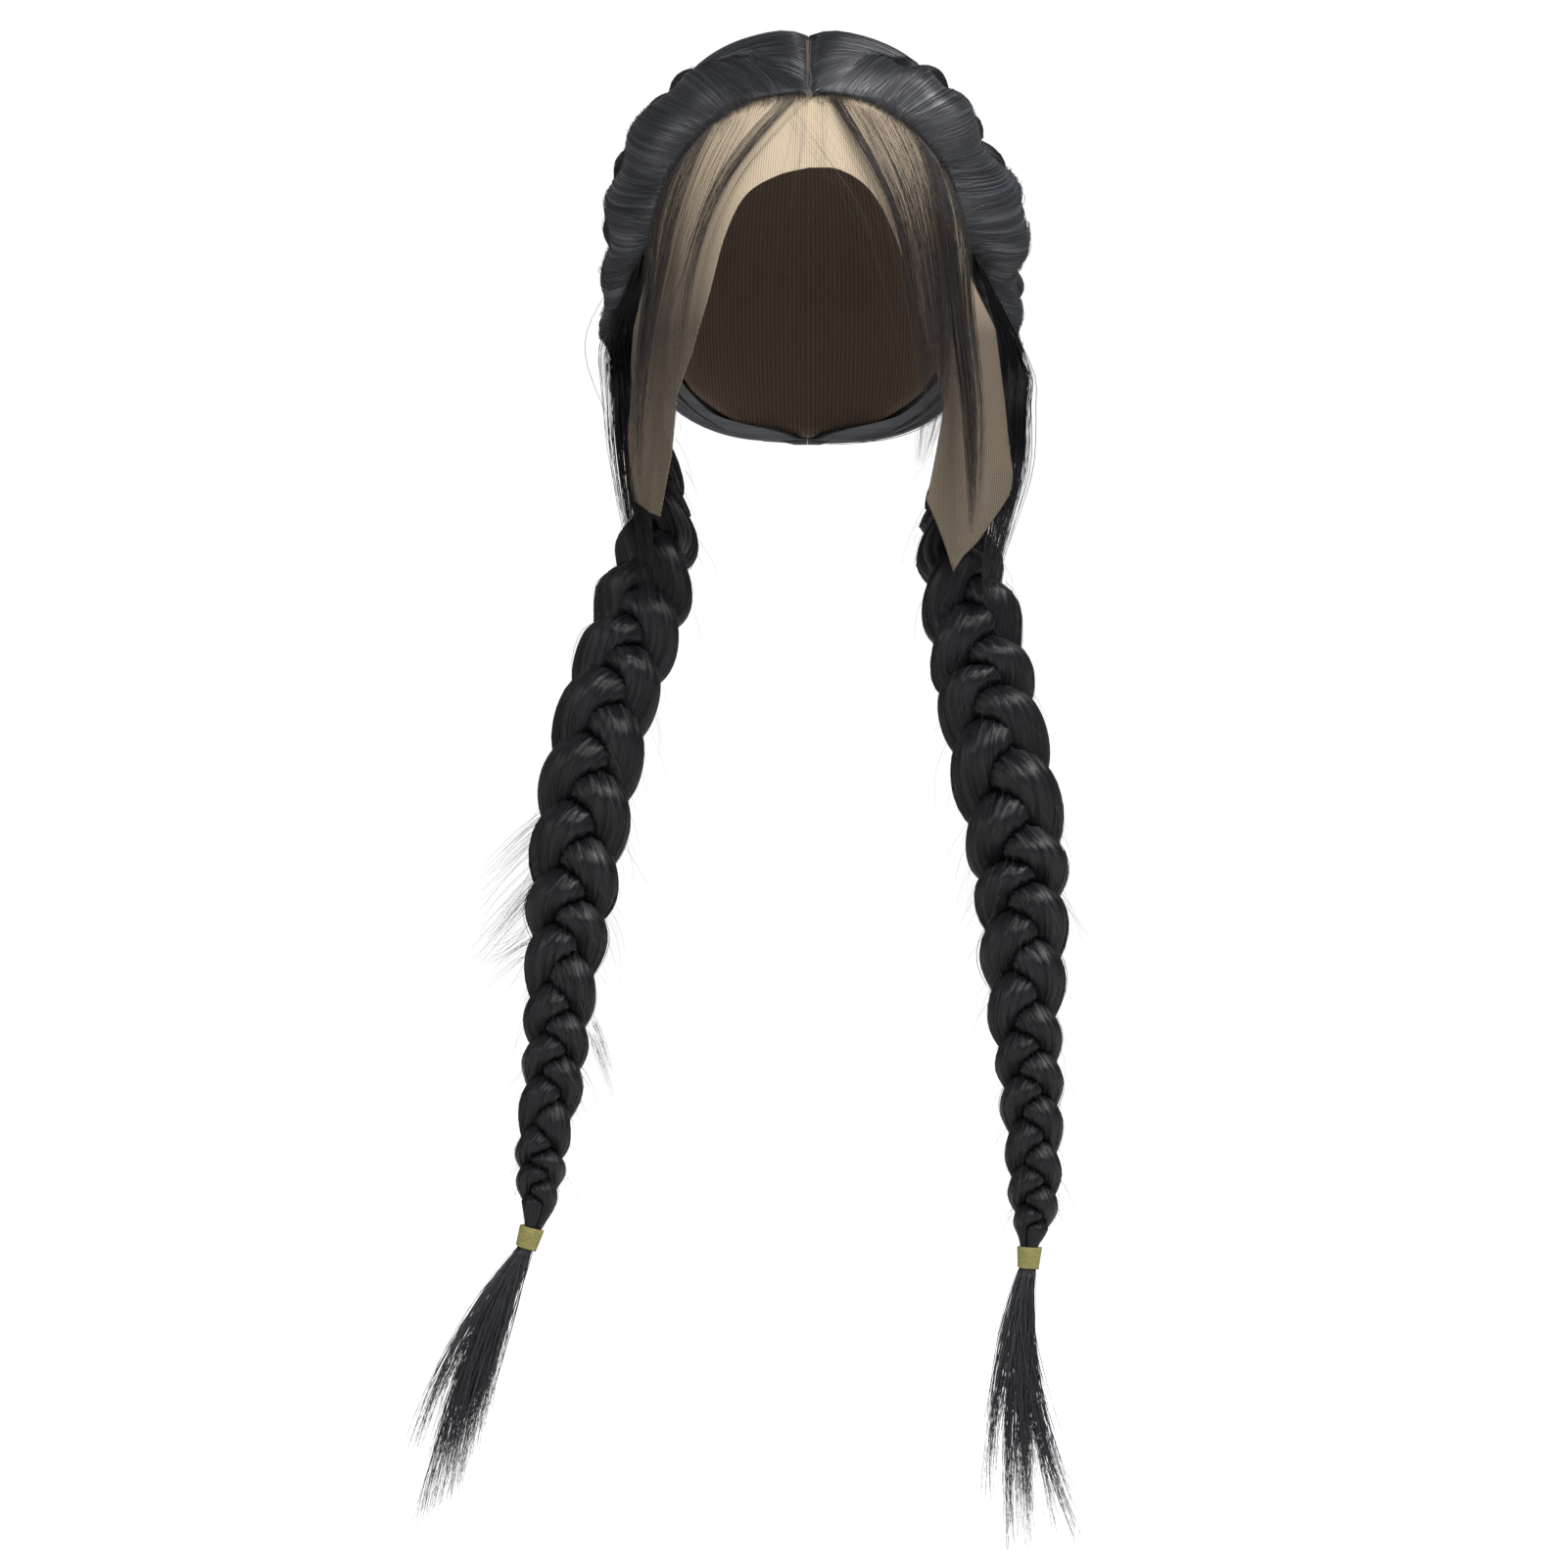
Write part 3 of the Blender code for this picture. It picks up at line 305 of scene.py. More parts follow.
# Height of the part over the forehead, and the heights between which the lace grows paler
PART_FOOT = -0.0275
CHEEK_HEIGHT, TEMPLE_HEIGHT = -0.13, -0.07


class WigHair(bpy.types.PropertyGroup):
    """Hair: fibre sizes, counts and colours."""

    fibre: FloatProperty(name="Fibre", description="Radius of a drawn fibre lock", default=0.00019,
                         subtype="DISTANCE", unit="LENGTH")
    fine: FloatProperty(name="Fine", description="Radius of a loose hair", default=0.00011,
                        subtype="DISTANCE", unit="LENGTH")
    part_hairs: IntProperty(name="Part hairs", description="Fibre locks from the part on each side",
                            default=720)
    line_hairs: IntProperty(name="Hairline hairs", description="Fibre locks from the hairline on each side",
                            default=780)
    tail_hairs: IntProperty(name="Tail hairs", description="Fibre locks in each loose end", default=620)
    dark: FloatVectorProperty(name="Dark", description="Colour in the creases", subtype="COLOR",
                              default=(0.0022, 0.0022, 0.0030))
    light: FloatVectorProperty(name="Light", description="Colour of the lighter fibres", subtype="COLOR",
                               default=(0.0110, 0.0115, 0.0150))
    # Painted sheen: lighter streaks painted into the colour of the smooth hair and the tails, where black
    # hair shows highlights
    sheen: FloatVectorProperty(name="Sheen", description="Lighter streaks of the smooth hair",
                               subtype="COLOR", default=(0.060, 0.065, 0.079))
    # Painted light: brown that stands in for light shining through thin black hair, painted into its colour
    backlit_brown: FloatVectorProperty(name="Brown", description="Colour of thin hair that light passes",
                               subtype="COLOR", default=(0.082, 0.066, 0.056))


class WigBraid(bpy.types.PropertyGroup):
    """Braids: how the three strands swing and swell."""

    swing: FloatProperty(name="Swing", description="Sideways swing as a share of the width", default=0.205)
    half: FloatProperty(name="Half width", description="Strand half width as a share of the width",
                        default=0.330)
    depth_swing: FloatProperty(name="Depth swing", description="Outward swing as a share of the depth",
                               default=0.27)
    depth_half: FloatProperty(name="Half depth", description="Strand half depth as a share of the depth",
                              default=0.38)
    rings: IntProperty(name="Rings", description="Rings for each lobe", default=12)
    sides: IntProperty(name="Sides", description="Points round a strand", default=72)
    ridge: FloatProperty(name="Ridge", description="Height of the fibre ridges as a share of the strand",
                         default=0.045)


class WigLace(bpy.types.PropertyGroup):
    """Lace and net: mesh size and colours."""

    pitch: FloatProperty(name="Pitch", description="Distance between threads", default=0.0010,
                         subtype="DISTANCE", unit="LENGTH")
    wall: FloatProperty(name="Wall", description="Thickness of the lace", default=0.0004,
                        subtype="DISTANCE", unit="LENGTH")
    thread: FloatVectorProperty(name="Thread", description="Colour of the lace threads", subtype="COLOR",
                                default=(0.27, 0.22, 0.165))
    film: FloatVectorProperty(name="Film", description="Colour between the threads of the tabs",
                              subtype="COLOR", default=(0.105, 0.080, 0.060))
    high_film: FloatVectorProperty(name="High film", description="Colour between the threads on the forehead",
                                   subtype="COLOR", default=(0.74, 0.60, 0.43))
    net: FloatVectorProperty(name="Net", description="Colour of the cap's net", subtype="COLOR",
                             default=(0.20, 0.145, 0.105))


class WigTie(bpy.types.PropertyGroup):
    """Ties: thread size and colour."""

    turns: IntProperty(name="Turns", description="Turns of thread on each tie", default=9)
    thread: FloatProperty(name="Thread", description="Radius of the thread", default=0.00068,
                          subtype="DISTANCE", unit="LENGTH")
    colour: FloatVectorProperty(name="Colour", description="Colour of the thread", subtype="COLOR",
                                default=(0.31, 0.28, 0.075))


class WigStage(bpy.types.PropertyGroup):
    """Stage: floor, lights and camera."""

    floor: FloatProperty(name="Floor", description="Height of the floor", default=-0.745,
                         subtype="DISTANCE", unit="LENGTH")
    soft: FloatProperty(name="Soft", description="Strength of the light from all round", default=0.26)
    key: FloatProperty(name="Key", description="Power of the key light", default=34.0,
                       subtype="POWER", unit="POWER")
    fill: FloatProperty(name="Fill", description="Power of the fill light", default=16.0,
                        subtype="POWER", unit="POWER")
    top: FloatProperty(name="Top", description="Power of the top light", default=31.0,
                       subtype="POWER", unit="POWER")
    lens: FloatProperty(name="Lens", description="Focal length in millimetres", default=112.4)


def ease(x):
    """Smooth step from 0 to 1: 3x squared less 2x cubed."""
    x = np.clip(x, 0.0, 1.0)
    return x * x * (3.0 - 2.0 * x)


def unit(v):
    """Vectors divided by their length."""
    return v / np.maximum(np.linalg.norm(v, axis=-1, keepdims=True), 1e-12)


def curve_through(rows, at):
    """Rows read at fractional row numbers, on a cubic whose slopes are half the step between neighbours."""
    slopes = np.gradient(rows, axis=0)
    k = np.clip(np.floor(at).astype(int), 0, len(rows) - 2)
    t = (at - k)[..., None]
    a, b = rows[k], rows[k + 1]
    return ((1 + 2 * t) * (1 - t) ** 2 * a + t * (1 - t) ** 2 * slopes[k]
            + t * t * (3 - 2 * t) * b + t * t * (t - 1) * slopes[k + 1])
def along_table(rows, share):
    """Rows read at shares of the table's whole length."""
    return curve_through(rows, share * (len(rows) - 1))


def shares(steps):
    """Even shares from 0 to 1, as one row."""
    return np.linspace(0, 1, steps)[None]


def bows(start, control, end, t):
    """Points on quadratic curves: (1-t) squared by start, 2t(1-t) by control and t squared by end, added."""
    return (1 - t) ** 2 * start[:, None] + 2 * t * (1 - t) * control[:, None] + t * t * end[:, None]


def dice_for(side, seed):
    """Random numbers of one side: the left has the seed and the right the next one."""
    return np.random.default_rng(seed + (side == "right"))


def keep_to_side(points, side, least):
    """Moves points that come nearer to the middle plane than the least distance out to it."""
    points[:, :, 0] = SIDES[side] * np.maximum(SIDES[side] * points[:, :, 0], least)

def way(azimuth, elevation):
    """Unit direction at an azimuth from the front and an elevation, in degrees."""
    a, e = np.radians(azimuth), np.radians(elevation)
    return np.stack([np.sin(a) * np.cos(e), -np.cos(a) * np.cos(e), np.sin(e)], -1)


def side_way(side, table):
    """Unit directions of a table's azimuths and elevations on one side."""
    return way(table[:, 0] * SIDES[side], table[:, 1])


def over_top(turn):
    """Unit directions in the middle plane, turned up from the front and over the head, in radians."""
    return np.stack([0 * turn, -np.cos(turn), np.sin(turn)], -1)


def gaps(points, axis):
    """Distances between neighbours of a grid of points along an axis."""
    return np.linalg.norm(np.diff(points, axis=axis), axis=2)


def on_head(direction, offset):
    """Point in that direction on the head form grown by the offset."""
    half = np.broadcast_to(HEAD_HALF, direction.shape).copy()
    half[..., 2] = np.where(direction[..., 2] < 0, HEAD_DROP, HEAD_HALF[2])
    half = half + np.asarray(offset)[..., None]
    reach = (np.abs(direction / half) ** HEAD_POWER).sum(-1) ** (-1.0 / HEAD_POWER)
    return HEAD_CENTRE + direction * reach[..., None]


def on_drape(azimuth, height, offset):
    """Point at a height, on the head form down to its widest level and on an upright wall below it."""
    half = HEAD_HALF + np.asarray(offset)[..., None]
    rise = np.clip((height - HEAD_CENTRE[2]) / half[..., 2], 0.0, 0.999)
    level = (1.0 - rise ** HEAD_POWER) ** (1.0 / HEAD_POWER)
    a = np.radians(azimuth)
    flat = np.stack([np.sin(a), -np.cos(a)], -1)
    reach = (np.abs(flat / half[..., :2]) ** HEAD_POWER).sum(-1) ** (-1.0 / HEAD_POWER) * level
    return np.stack([HEAD_CENTRE[0] + flat[..., 0] * reach,
                     HEAD_CENTRE[1] + flat[..., 1] * reach, height + 0 * reach], -1)


def lift_off_head(points, clear):
    """Points that lie nearer to the head form than the clearance, moved straight out to it."""
    arm = points - HEAD_CENTRE
    direction = unit(arm)
    least = np.linalg.norm(on_head(direction, np.full(points.shape[:-1], clear)) - HEAD_CENTRE, axis=-1)
    reach = np.maximum(np.linalg.norm(arm, axis=-1), least)
    return HEAD_CENTRE + direction * reach[..., None]


def facing_out(part):
    """The part with its faces turned outwards: a negative volume means that they faced inwards."""
    p, q, s = part["points"], part["quads"], part["tris"]
    three = np.vstack([q[:, [0, 1, 2]], q[:, [0, 2, 3]], s])
    volume = (p[three[:, 0]] * np.cross(p[three[:, 1]], p[three[:, 2]])).sum()
    if volume < 0:
        for name in ("quads", "quad_maps", "tris", "tri_maps"):
            part[name] = part[name][:, ::-1]
    return part


def quads_of(spots, maps):
    """Quads between neighbouring rows and columns of vertex numbers, and their places on the fibre map."""
    corners = [a[i:len(a) - 1 + i, j:a.shape[1] - 1 + j] for a in (spots, maps)
               for i, j in ((0, 0), (1, 0), (1, 1), (0, 1))]
    return np.stack(corners[:4], -1).reshape(-1, 4), np.stack(corners[4:], 2).reshape(-1, 4, 2)


def fibre_map(points):
    """Map of a grid in metres: the mean width of the columns across, and the length of each column along."""
    across = np.concatenate([[0], np.cumsum(gaps(points, 1).mean(axis=0))])
    along = np.vstack([np.zeros(points.shape[1]), np.cumsum(gaps(points, 0), axis=0)])
    return np.stack([np.broadcast_to(across, along.shape), along], -1)


def closed_sheet(outer, inner, maps=None):
    """Closed sheet between two grids of points (rows, columns), with its grain along the columns."""
    rows, columns = outer.shape[:2]
    maps = fibre_map(outer) if maps is None else maps
    spots = np.arange(rows * columns).reshape(rows, columns)
    front, front_map = quads_of(spots, maps)
    back, back_map = quads_of(spots[:, ::-1] + rows * columns, maps[:, ::-1])
    loop = np.concatenate([spots[0, :-1], spots[:-1, -1], spots[-1, :0:-1], spots[:0:-1, 0]])
    flat = maps.reshape(-1, 2)
    after = np.roll(loop, -1)
    rim = np.stack([loop, after, after + rows * columns, loop + rows * columns], -1)
    rim_map = np.stack([flat[loop], flat[after], flat[after], flat[loop]], 1)
    return facing_out({"points": np.vstack([outer.reshape(-1, 3), inner.reshape(-1, 3)]),
                       "quads": np.vstack([front, back, rim]),
                       "quad_maps": np.vstack([front_map, back_map, rim_map]),
                       "tris": np.zeros((0, 3), int), "tri_maps": np.zeros((0, 3, 2))})


def closed_loft(rings):
    """Closed solid through rings (rings, sides, 3), with a fan of triangles on each end."""
    count, sides = rings.shape[:2]
    spots = np.arange(count * sides).reshape(count, sides)
    spots = np.concatenate([spots, spots[:, :1]], axis=1)
    quads, quad_maps = quads_of(spots, fibre_map(np.concatenate([rings, rings[:, :1]], axis=1)))
    here, after = np.arange(sides), (np.arange(sides) + 1) % sides
    first, last, base = count * sides, count * sides + 1, (count - 1) * sides
    start = np.stack([np.full(sides, first), after, here], -1)
    finish = np.stack([np.full(sides, last), base + here, base + after], -1)
    return facing_out({"points": np.vstack([rings.reshape(-1, 3), rings[[0, -1]].mean(axis=1)]),
                       "quads": quads, "quad_maps": quad_maps,
                       "tris": np.vstack([start[:, ::-1], finish[:, ::-1]]),
                       "tri_maps": np.zeros((2 * sides, 3, 2))})


def tubes(paths, radii, seed):
    """Three-sided closed tubes along paths (tubes, points, 3) with radii (tubes, points).

    A ring stands across the path at each point, turned by thirds of a circle, and both ends are closed.
    Every tube has its own random place across the fibre map.
    """
    count, length = paths.shape[:2]
    ahead = unit(np.gradient(paths, axis=1))
    up = unit(paths - HEAD_CENTRE + np.array([0.0, -0.15, 0.0]))
    side = unit(np.cross(ahead, up))
    out = np.cross(side, ahead)
    turn = 2 * np.pi * np.arange(3) / 3
    ring = (np.cos(turn)[:, None] * out[:, :, None] + np.sin(turn)[:, None] * side[:, :, None])
    points = paths[:, :, None] + ring * radii[:, :, None, None]
    spots = np.arange(count * length * 3).reshape(count, length, 3)
    after = np.roll(spots, -1, axis=2)
    quads = np.stack([spots[:, :-1], after[:, :-1], after[:, 1:], spots[:, 1:]], -1).reshape(-1, 4)
    tris = np.vstack([spots[:, 0, ::-1], spots[:, -1]])
    place = np.random.default_rng(seed).uniform(0, 1.0, count)
    along = np.concatenate([np.zeros((count, 1)), np.cumsum(gaps(paths, 1), axis=1)], axis=1)
    u = place[:, None, None] + 0.0003 * np.arange(3) + np.zeros((1, length - 1, 1))
    low = np.broadcast_to(along[:, :-1, None], u.shape)
    high = np.broadcast_to(along[:, 1:, None], u.shape)
    maps = np.stack([np.stack([u, low], -1), np.stack([u + 0.0003, low], -1),
                     np.stack([u + 0.0003, high], -1), np.stack([u, high], -1)], 3)
    ends = np.concatenate([place, place])[:, None] + 0.0003 * np.arange(3)
    return {"points": points.reshape(-1, 3), "quads": quads, "quad_maps": maps.reshape(-1, 4, 2),
            "tris": tris, "tri_maps": np.stack([ends, np.zeros_like(ends)], -1)}


def put_in_scene(name, data):
    """New object with that data, linked to the scene."""
    made = bpy.data.objects.new(name, data)
    bpy.context.scene.collection.objects.link(made)
    return made


def add_piece(name, parts, material, nodes=()):
    """Mesh object of all the parts, which rides on the wig's body and stands for the named nodes."""
    starts = np.cumsum([0] + [len(p["points"]) for p in parts])
    points = np.vstack([p["points"] for p in parts])
    quads = np.vstack([p["quads"] + s for p, s in zip(parts, starts)])
    tris = np.vstack([p["tris"] + s for p, s in zip(parts, starts)])
    maps = np.vstack([p["quad_maps"].reshape(-1, 2) for p in parts]
                     + [p["tri_maps"].reshape(-1, 2) for p in parts])
    mesh = bpy.data.meshes.new(name)
    mesh.vertices.add(len(points))
    mesh.vertices.foreach_set("co", points.astype(np.float32).ravel())
    corners = np.concatenate([quads.ravel(), tris.ravel()]).astype(np.int32)
    mesh.loops.add(len(corners))
    mesh.loops.foreach_set("vertex_index", corners)
    begins = np.concatenate([np.arange(len(quads)) * 4, len(quads) * 4 + np.arange(len(tris)) * 3])
    mesh.polygons.add(len(begins))
    mesh.polygons.foreach_set("loop_start", begins.astype(np.int32))
    mesh.update(calc_edges=True)
    mesh.uv_layers.new(name="fibre")
    mesh.uv_layers["fibre"].data.foreach_set("uv", maps.astype(np.float32).ravel())
    mesh.validate()
    mesh.shade_smooth()
    mesh.materials.append(material)
    made = put_in_scene(name, mesh)
    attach(made, BODY)
    if nodes:
        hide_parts(*nodes)
    return made


def strand_places(phase, width, depth, look):
    """Sideways and outward place of the three strands, from the phase of the first one in degrees.

    A strand swings sideways once while it swings outwards twice, so it lies on top from the middle to an
    edge and returns underneath.
    """
    turn = np.radians(phase[..., None] + LOBE_TURN * np.arange(3))
    across = look.swing * width[..., None] * np.sin(turn)
    out = look.depth_swing * (depth * width)[..., None] * np.sin(2 * turn)
    return across, out


def strand_rings(frame_rows, index, look, seed):
    """Rings of one strand: an ellipse that stops halfway to each neighbour, with fibre ridges.

    The reach in a direction is the soft least of the ellipse and the lines midway to the other two
    strands, times one plus a sum of folded cosines of whole multiples of the angle.
    """
    middle, width, depth, phase, sideways, out = frame_rows
    across, outs = strand_places(phase, width, depth, look)
    turn = 2 * np.pi * np.arange(look.sides) / look.sides
    ray = np.stack([np.cos(turn), np.sin(turn)], -1)
    half = np.stack([look.half * width, look.depth_half * depth * width], -1)
    reach = ((ray[None] / half[:, None]) ** 2).sum(-1) ** -0.5
    soft = 0.00035
    for other in range(3):
        if other == index:
            continue
        gap = np.stack([across[:, other] - across[:, index], outs[:, other] - outs[:, index]], -1)
        length = np.linalg.norm(gap, axis=1)[:, None]
        facing = (ray[None] * (gap / length)[:, None]).sum(-1)
        limit = np.maximum(length / 2 - 0.0001, 0.0004)
        press = np.where(facing > 0.02, limit / np.maximum(facing, 0.02), 1.0)
        reach = -soft * np.logaddexp(-reach / soft, -press / soft)
    dice = np.random.default_rng(seed)
    ridges = np.zeros((len(middle), look.sides))
    station = np.arange(len(middle))[:, None] / look.rings
    waves = (5, 9, 14, 20)
    for count in waves:
        shift, drift = dice.uniform(0, 2 * np.pi), dice.uniform(-0.6, 0.6)
        bend = shift + drift * np.sin(station + shift)
        ridges += np.abs(np.cos(0.5 * count * turn[None] + bend)) / len(waves)
    reach = np.maximum(reach, 0.0004) * (1 + 2 * look.ridge * (ridges - 0.64))
    places = across[:, index, None] + ray[None, :, 0] * reach
    heights = outs[:, index, None] + ray[None, :, 1] * reach
    return middle[:, None] + places[..., None] * sideways[:, None] + heights[..., None] * out[:, None]


def hanging_frame(side, look):
    """Middle line, width, depth share, phase and the sideways and outward axes at each ring."""
    rows = np.column_stack([BRAID[side], BRAID_DEPTH, SIDES[side] * BRAID_FACES])
    lobes = len(rows) - 1
    axis = tie_axis(side)
    mouth = TIE_CENTRE[side] - axis * TIE_HEIGHT / 2
    middle = TIE_CENTRE[side] + axis * 0.002
    fill = (TIE_FILL_WIDTH, TIE_FILL_DEPTH, 0)
    root = rows[0] + (-SIDES[side] * 0.006, -0.002, 0.022, -0.008, 0, 0)
    table = np.vstack([root, rows, (*mouth, *fill), (*middle, *fill)])
    at = np.concatenate([np.linspace(0, lobes + 1, (lobes + 1) * look.rings + 1),
                         lobes + 1 + np.array([0.25, 0.5, 0.75, 1.0, 1.5, 2.0])])
    line = curve_through(table, at)
    step = 0.05
    ahead = unit(curve_through(table[:, :3], np.clip(at + step, 0, len(table) - 1))
                 - curve_through(table[:, :3], np.clip(at - step, 0, len(table) - 1)))
    out = way(line[:, 5], 0 * at)
    out = unit(out - (out * ahead).sum(1)[:, None] * ahead)
    phase = BRAID_PHASE[side] + LOBE_TURN * np.minimum(at - 1, lobes)
    return line[:, :3], line[:, 3], line[:, 4], phase, np.cross(out, ahead), out


def head_line(side, share):
    """Braid on the head at shares of its length: places, width, and the axes along it and across it.

    Across points from the hairline's side to the crown's. The braid lies behind the sections' tops and
    lower than they are.
    """
    rows = HEAD_BRAID[side]
    line = along_table(rows, share)
    azimuth = line[:, 0] + np.interp(share * 5, np.arange(6), BRAID_BEHIND)
    direction = way(azimuth * SIDES[side], line[:, 1])
    spots = on_head(direction, line[:, 3] - BRAID_SINK)
    step = along_table(rows, np.clip(share + 0.01, 0, 1))
    back = along_table(rows, np.clip(share - 0.01, 0, 1))
    ahead = unit(on_head(side_way(side, step), step[:, 3]) - on_head(side_way(side, back), back[:, 3]))
    lateral = unit(np.cross(spots - HEAD_CENTRE, ahead)) * SIDES[side]
    return spots, line[:, 2], ahead, lateral


def at_braid(side, share, shift):
    """Directions of places across the braid on the head, shifted by shares of its half width."""
    spots, width, _, lateral = head_line(side, share)
    return unit(spots + lateral * (0.5 * width * shift)[:, None] - HEAD_CENTRE)


def rest_height(direction, side):
    """Height of smooth hair over the head form: a swell that grows from the edge, less the part's dip."""
    elevation = np.degrees(np.arcsin(np.clip(direction[..., 2], -1, 1)))
    line = side_way(side, HAIRLINE[side])
    fine = unit(curve_through(line, np.linspace(0, len(line) - 1, 60)))
    from_edge = np.degrees(np.arccos(np.clip((direction @ fine.T).max(-1), -1, 1)))
    swell = SIDE_SWELL + (CROWN_SWELL - SIDE_SWELL) * ease((elevation - SWELL_LOW) / (SWELL_HIGH - SWELL_LOW))
    base = HAIR_EDGE + (swell - HAIR_EDGE) * ease(from_edge / SWELL_REACH) ** SWELL_ROUND
    here = on_head(direction, np.full(direction.shape[:-1], SURFACE_LEVEL))
    dip = PART_DIP * np.exp(-(here[..., 0] / PART_DIP_WIDTH) ** 2)
    return base - dip * ease(from_edge / PART_DIP_REACH)


def crown_shell(side):
    """Closed shell under the fibres: columns run from the centre part to the hairline, side and nape."""
    columns, rows = 90, 44
    share = np.linspace(0, 1, columns + 1)
    table = HAIRLINE[side]
    part_turn = np.radians(table[0, 1] + (180.0 - table[-1, 1] - table[0, 1]) * share)
    part = over_top(part_turn)
    edge = side_way(side, along_table(table, share))
    gap = np.arccos(np.clip((part * edge).sum(-1), -1, 1))[None, :, None]
    row = share * (len(table) - 1)
    held_back = SHELL_BACK * (1 - ease((row - SHELL_ROW) / SHELL_RUN)) * ease(share * 40)
    t = np.linspace(0, 1, rows + 1)[:, None, None] * (1 - held_back[None, :, None] / gap)
    direction = (np.sin((1 - t) * gap) * part + np.sin(t * gap) * edge) / np.sin(gap)
    height = np.maximum(rest_height(direction, side) - SHELL_SINK, HAIR_CLEAR + HAIR_ABOVE_CAP)
    height = np.where(t[..., 0] > 0.9, np.minimum(height, HAIR_CLEAR + 0.0012), height)
    outer, inner = on_head(direction, height), on_head(direction, np.full_like(height, HAIR_CLEAR))
    for sheet in (outer, inner):
        keep_to_side(sheet, side, part_gap(part_turn) * 0.15 + 0.00005)
    return closed_sheet(outer, inner)


def part_gap(turn):
    """Half width of the bare part at an angle over the head, in radians: open in front, closed behind."""
    return 0.00002 + PART_OPEN * (1 - ease((np.degrees(turn) - PART_CLOSES) / PART_RUN))


def flow_paths(start, middle, end, count):
    """Directions along quadratic curves on the sphere, from start by middle to end."""
    t = shares(count)[..., None]
    return unit(bows(start, middle, end, t))


def gathered(share, side, pull):
    """Shares along the braid drawn to the middle of their section, and their place within it.

    A sine that is nil at both ends of the section is added.
    """
    ends = SECTION_ENDS[side]
    k = np.clip(np.searchsorted(ends, share) - 1, 0, len(ends) - 2)
    size = ends[k + 1] - ends[k]
    within = (share - ends[k]) / size
    return share + pull * size * np.sin(2 * np.pi * within) / (2 * np.pi), within


def clump_noise(order, groups, seed):
    """Random value for each hair that neighbours in order share, eased between groups."""
    values = np.random.default_rng(seed).uniform(-1, 1, groups + 2)
    at = order * groups
    k = np.floor(at).astype(int)
    return values[k] + (values[k + 1] - values[k]) * ease(at - k)


def part_flow(side, order, mess, steps):
    """Directions of fibres from the part, out and down to the braid, by their order from the front."""
    turn = PART_FIRST + PART_SPAN * order
    start = over_top(np.radians(turn))
    share = np.interp(turn, PART_FEED[:, 0], PART_FEED[:, 1])
    share = np.clip(gathered(share, side, PART_PULL)[0] + 0.006 * mess, 0, 1)
    end = at_braid(side, share, -0.50 + 1.10 * ease(share / 0.24))
    middle = unit(0.5 * (start + end)) + np.array([0.17 * SIDES[side], 0.0, 0.0])
    middle = middle + 0.012 * mess[:, None] * np.cross(start, end - start)
    return flow_paths(start, middle, end, steps), np.radians(turn)


def line_flow(side, order, mess, steps):
    """Directions and heights of fibres from the hairline, which sag and then rise over the side to the braid.

    The height climbs from the lace to the section's top, falls into a crease between sections, and dives
    under the braid at the end.
    """
    at = LINE_ROWS * order
    start = side_way(side, curve_through(HAIRLINE[side], at))
    plain = np.interp(at, LINE_FEED[:, 0], LINE_FEED[:, 1])
    drawn, within = gathered(plain, side, SECTION_PULL)
    share = np.clip(drawn + 0.006 * mess, 0, 1)
    nape = ease((at - NAPE_FROM) / NAPE_RUN)
    end = at_braid(side, share, -0.60 * ease(share / 0.24) + 1.2 * nape)
    middle = unit(0.5 * (start + end))
    sag = 0.20 * ease((at - 1.0) / 2.5) * (1 - ease((at - 7.5) / 2.0))
    middle[:, 2] -= sag * (1 + 0.08 * mess)
    direction = flow_paths(start, middle, end, steps)
    t = shares(steps)
    table = SECTION_TOP[side]
    top = curve_through(table[:, 1:], np.interp(plain, table[:, 0], np.arange(len(table))))[:, 0]
    top = np.where(at > NAPE_FROM, 0.0095 + (top - 0.0095) * (1 - nape), top)[:, None]
    crease = CREASE * (0.5 + 0.5 * np.cos(2 * np.pi * within))[:, None] ** 3 * ease((at - 0.3) / 1.0)[:, None]
    rise = np.sin(0.5 * np.pi * np.clip(t / 0.82, 0, 1)) ** 1.15
    height = 0.0012 + (top - 0.0012) * rise - crease * ease(t / 0.3)
    dive = (0.35 + 0.65 * ease((plain - 0.05) / 0.2))[:, None] * ease((t - 0.84) / 0.16)
    height = height - (height - 0.0060) * dive
    rest = rest_height(direction, side)
    height = rest + (height - rest) * ease(at / 1.8)[:, None]
    return direction, height, at


def part_cover(side):
    """Closed sheet of hair along the fibres that leave the part."""
    fibres, steps = 150, 26
    order = np.linspace(0, 1, fibres)
    direction, turn = part_flow(side, order, 0 * order, steps)
    height = rest_height(direction, side) - 0.004 * ease((shares(steps) - DIVE_FROM) / (1 - DIVE_FROM))
    sheets = [on_head(direction, np.maximum(height - wall, HAIR_CLEAR + COVER_CLEAR - wall / 4))
              for wall in (0.0, COVER_WALL)]
    for sheet in sheets:
        keep_to_side(sheet, side, part_gap(turn)[:, None])
    return closed_sheet(*(sheet.transpose(1, 0, 2) for sheet in sheets))


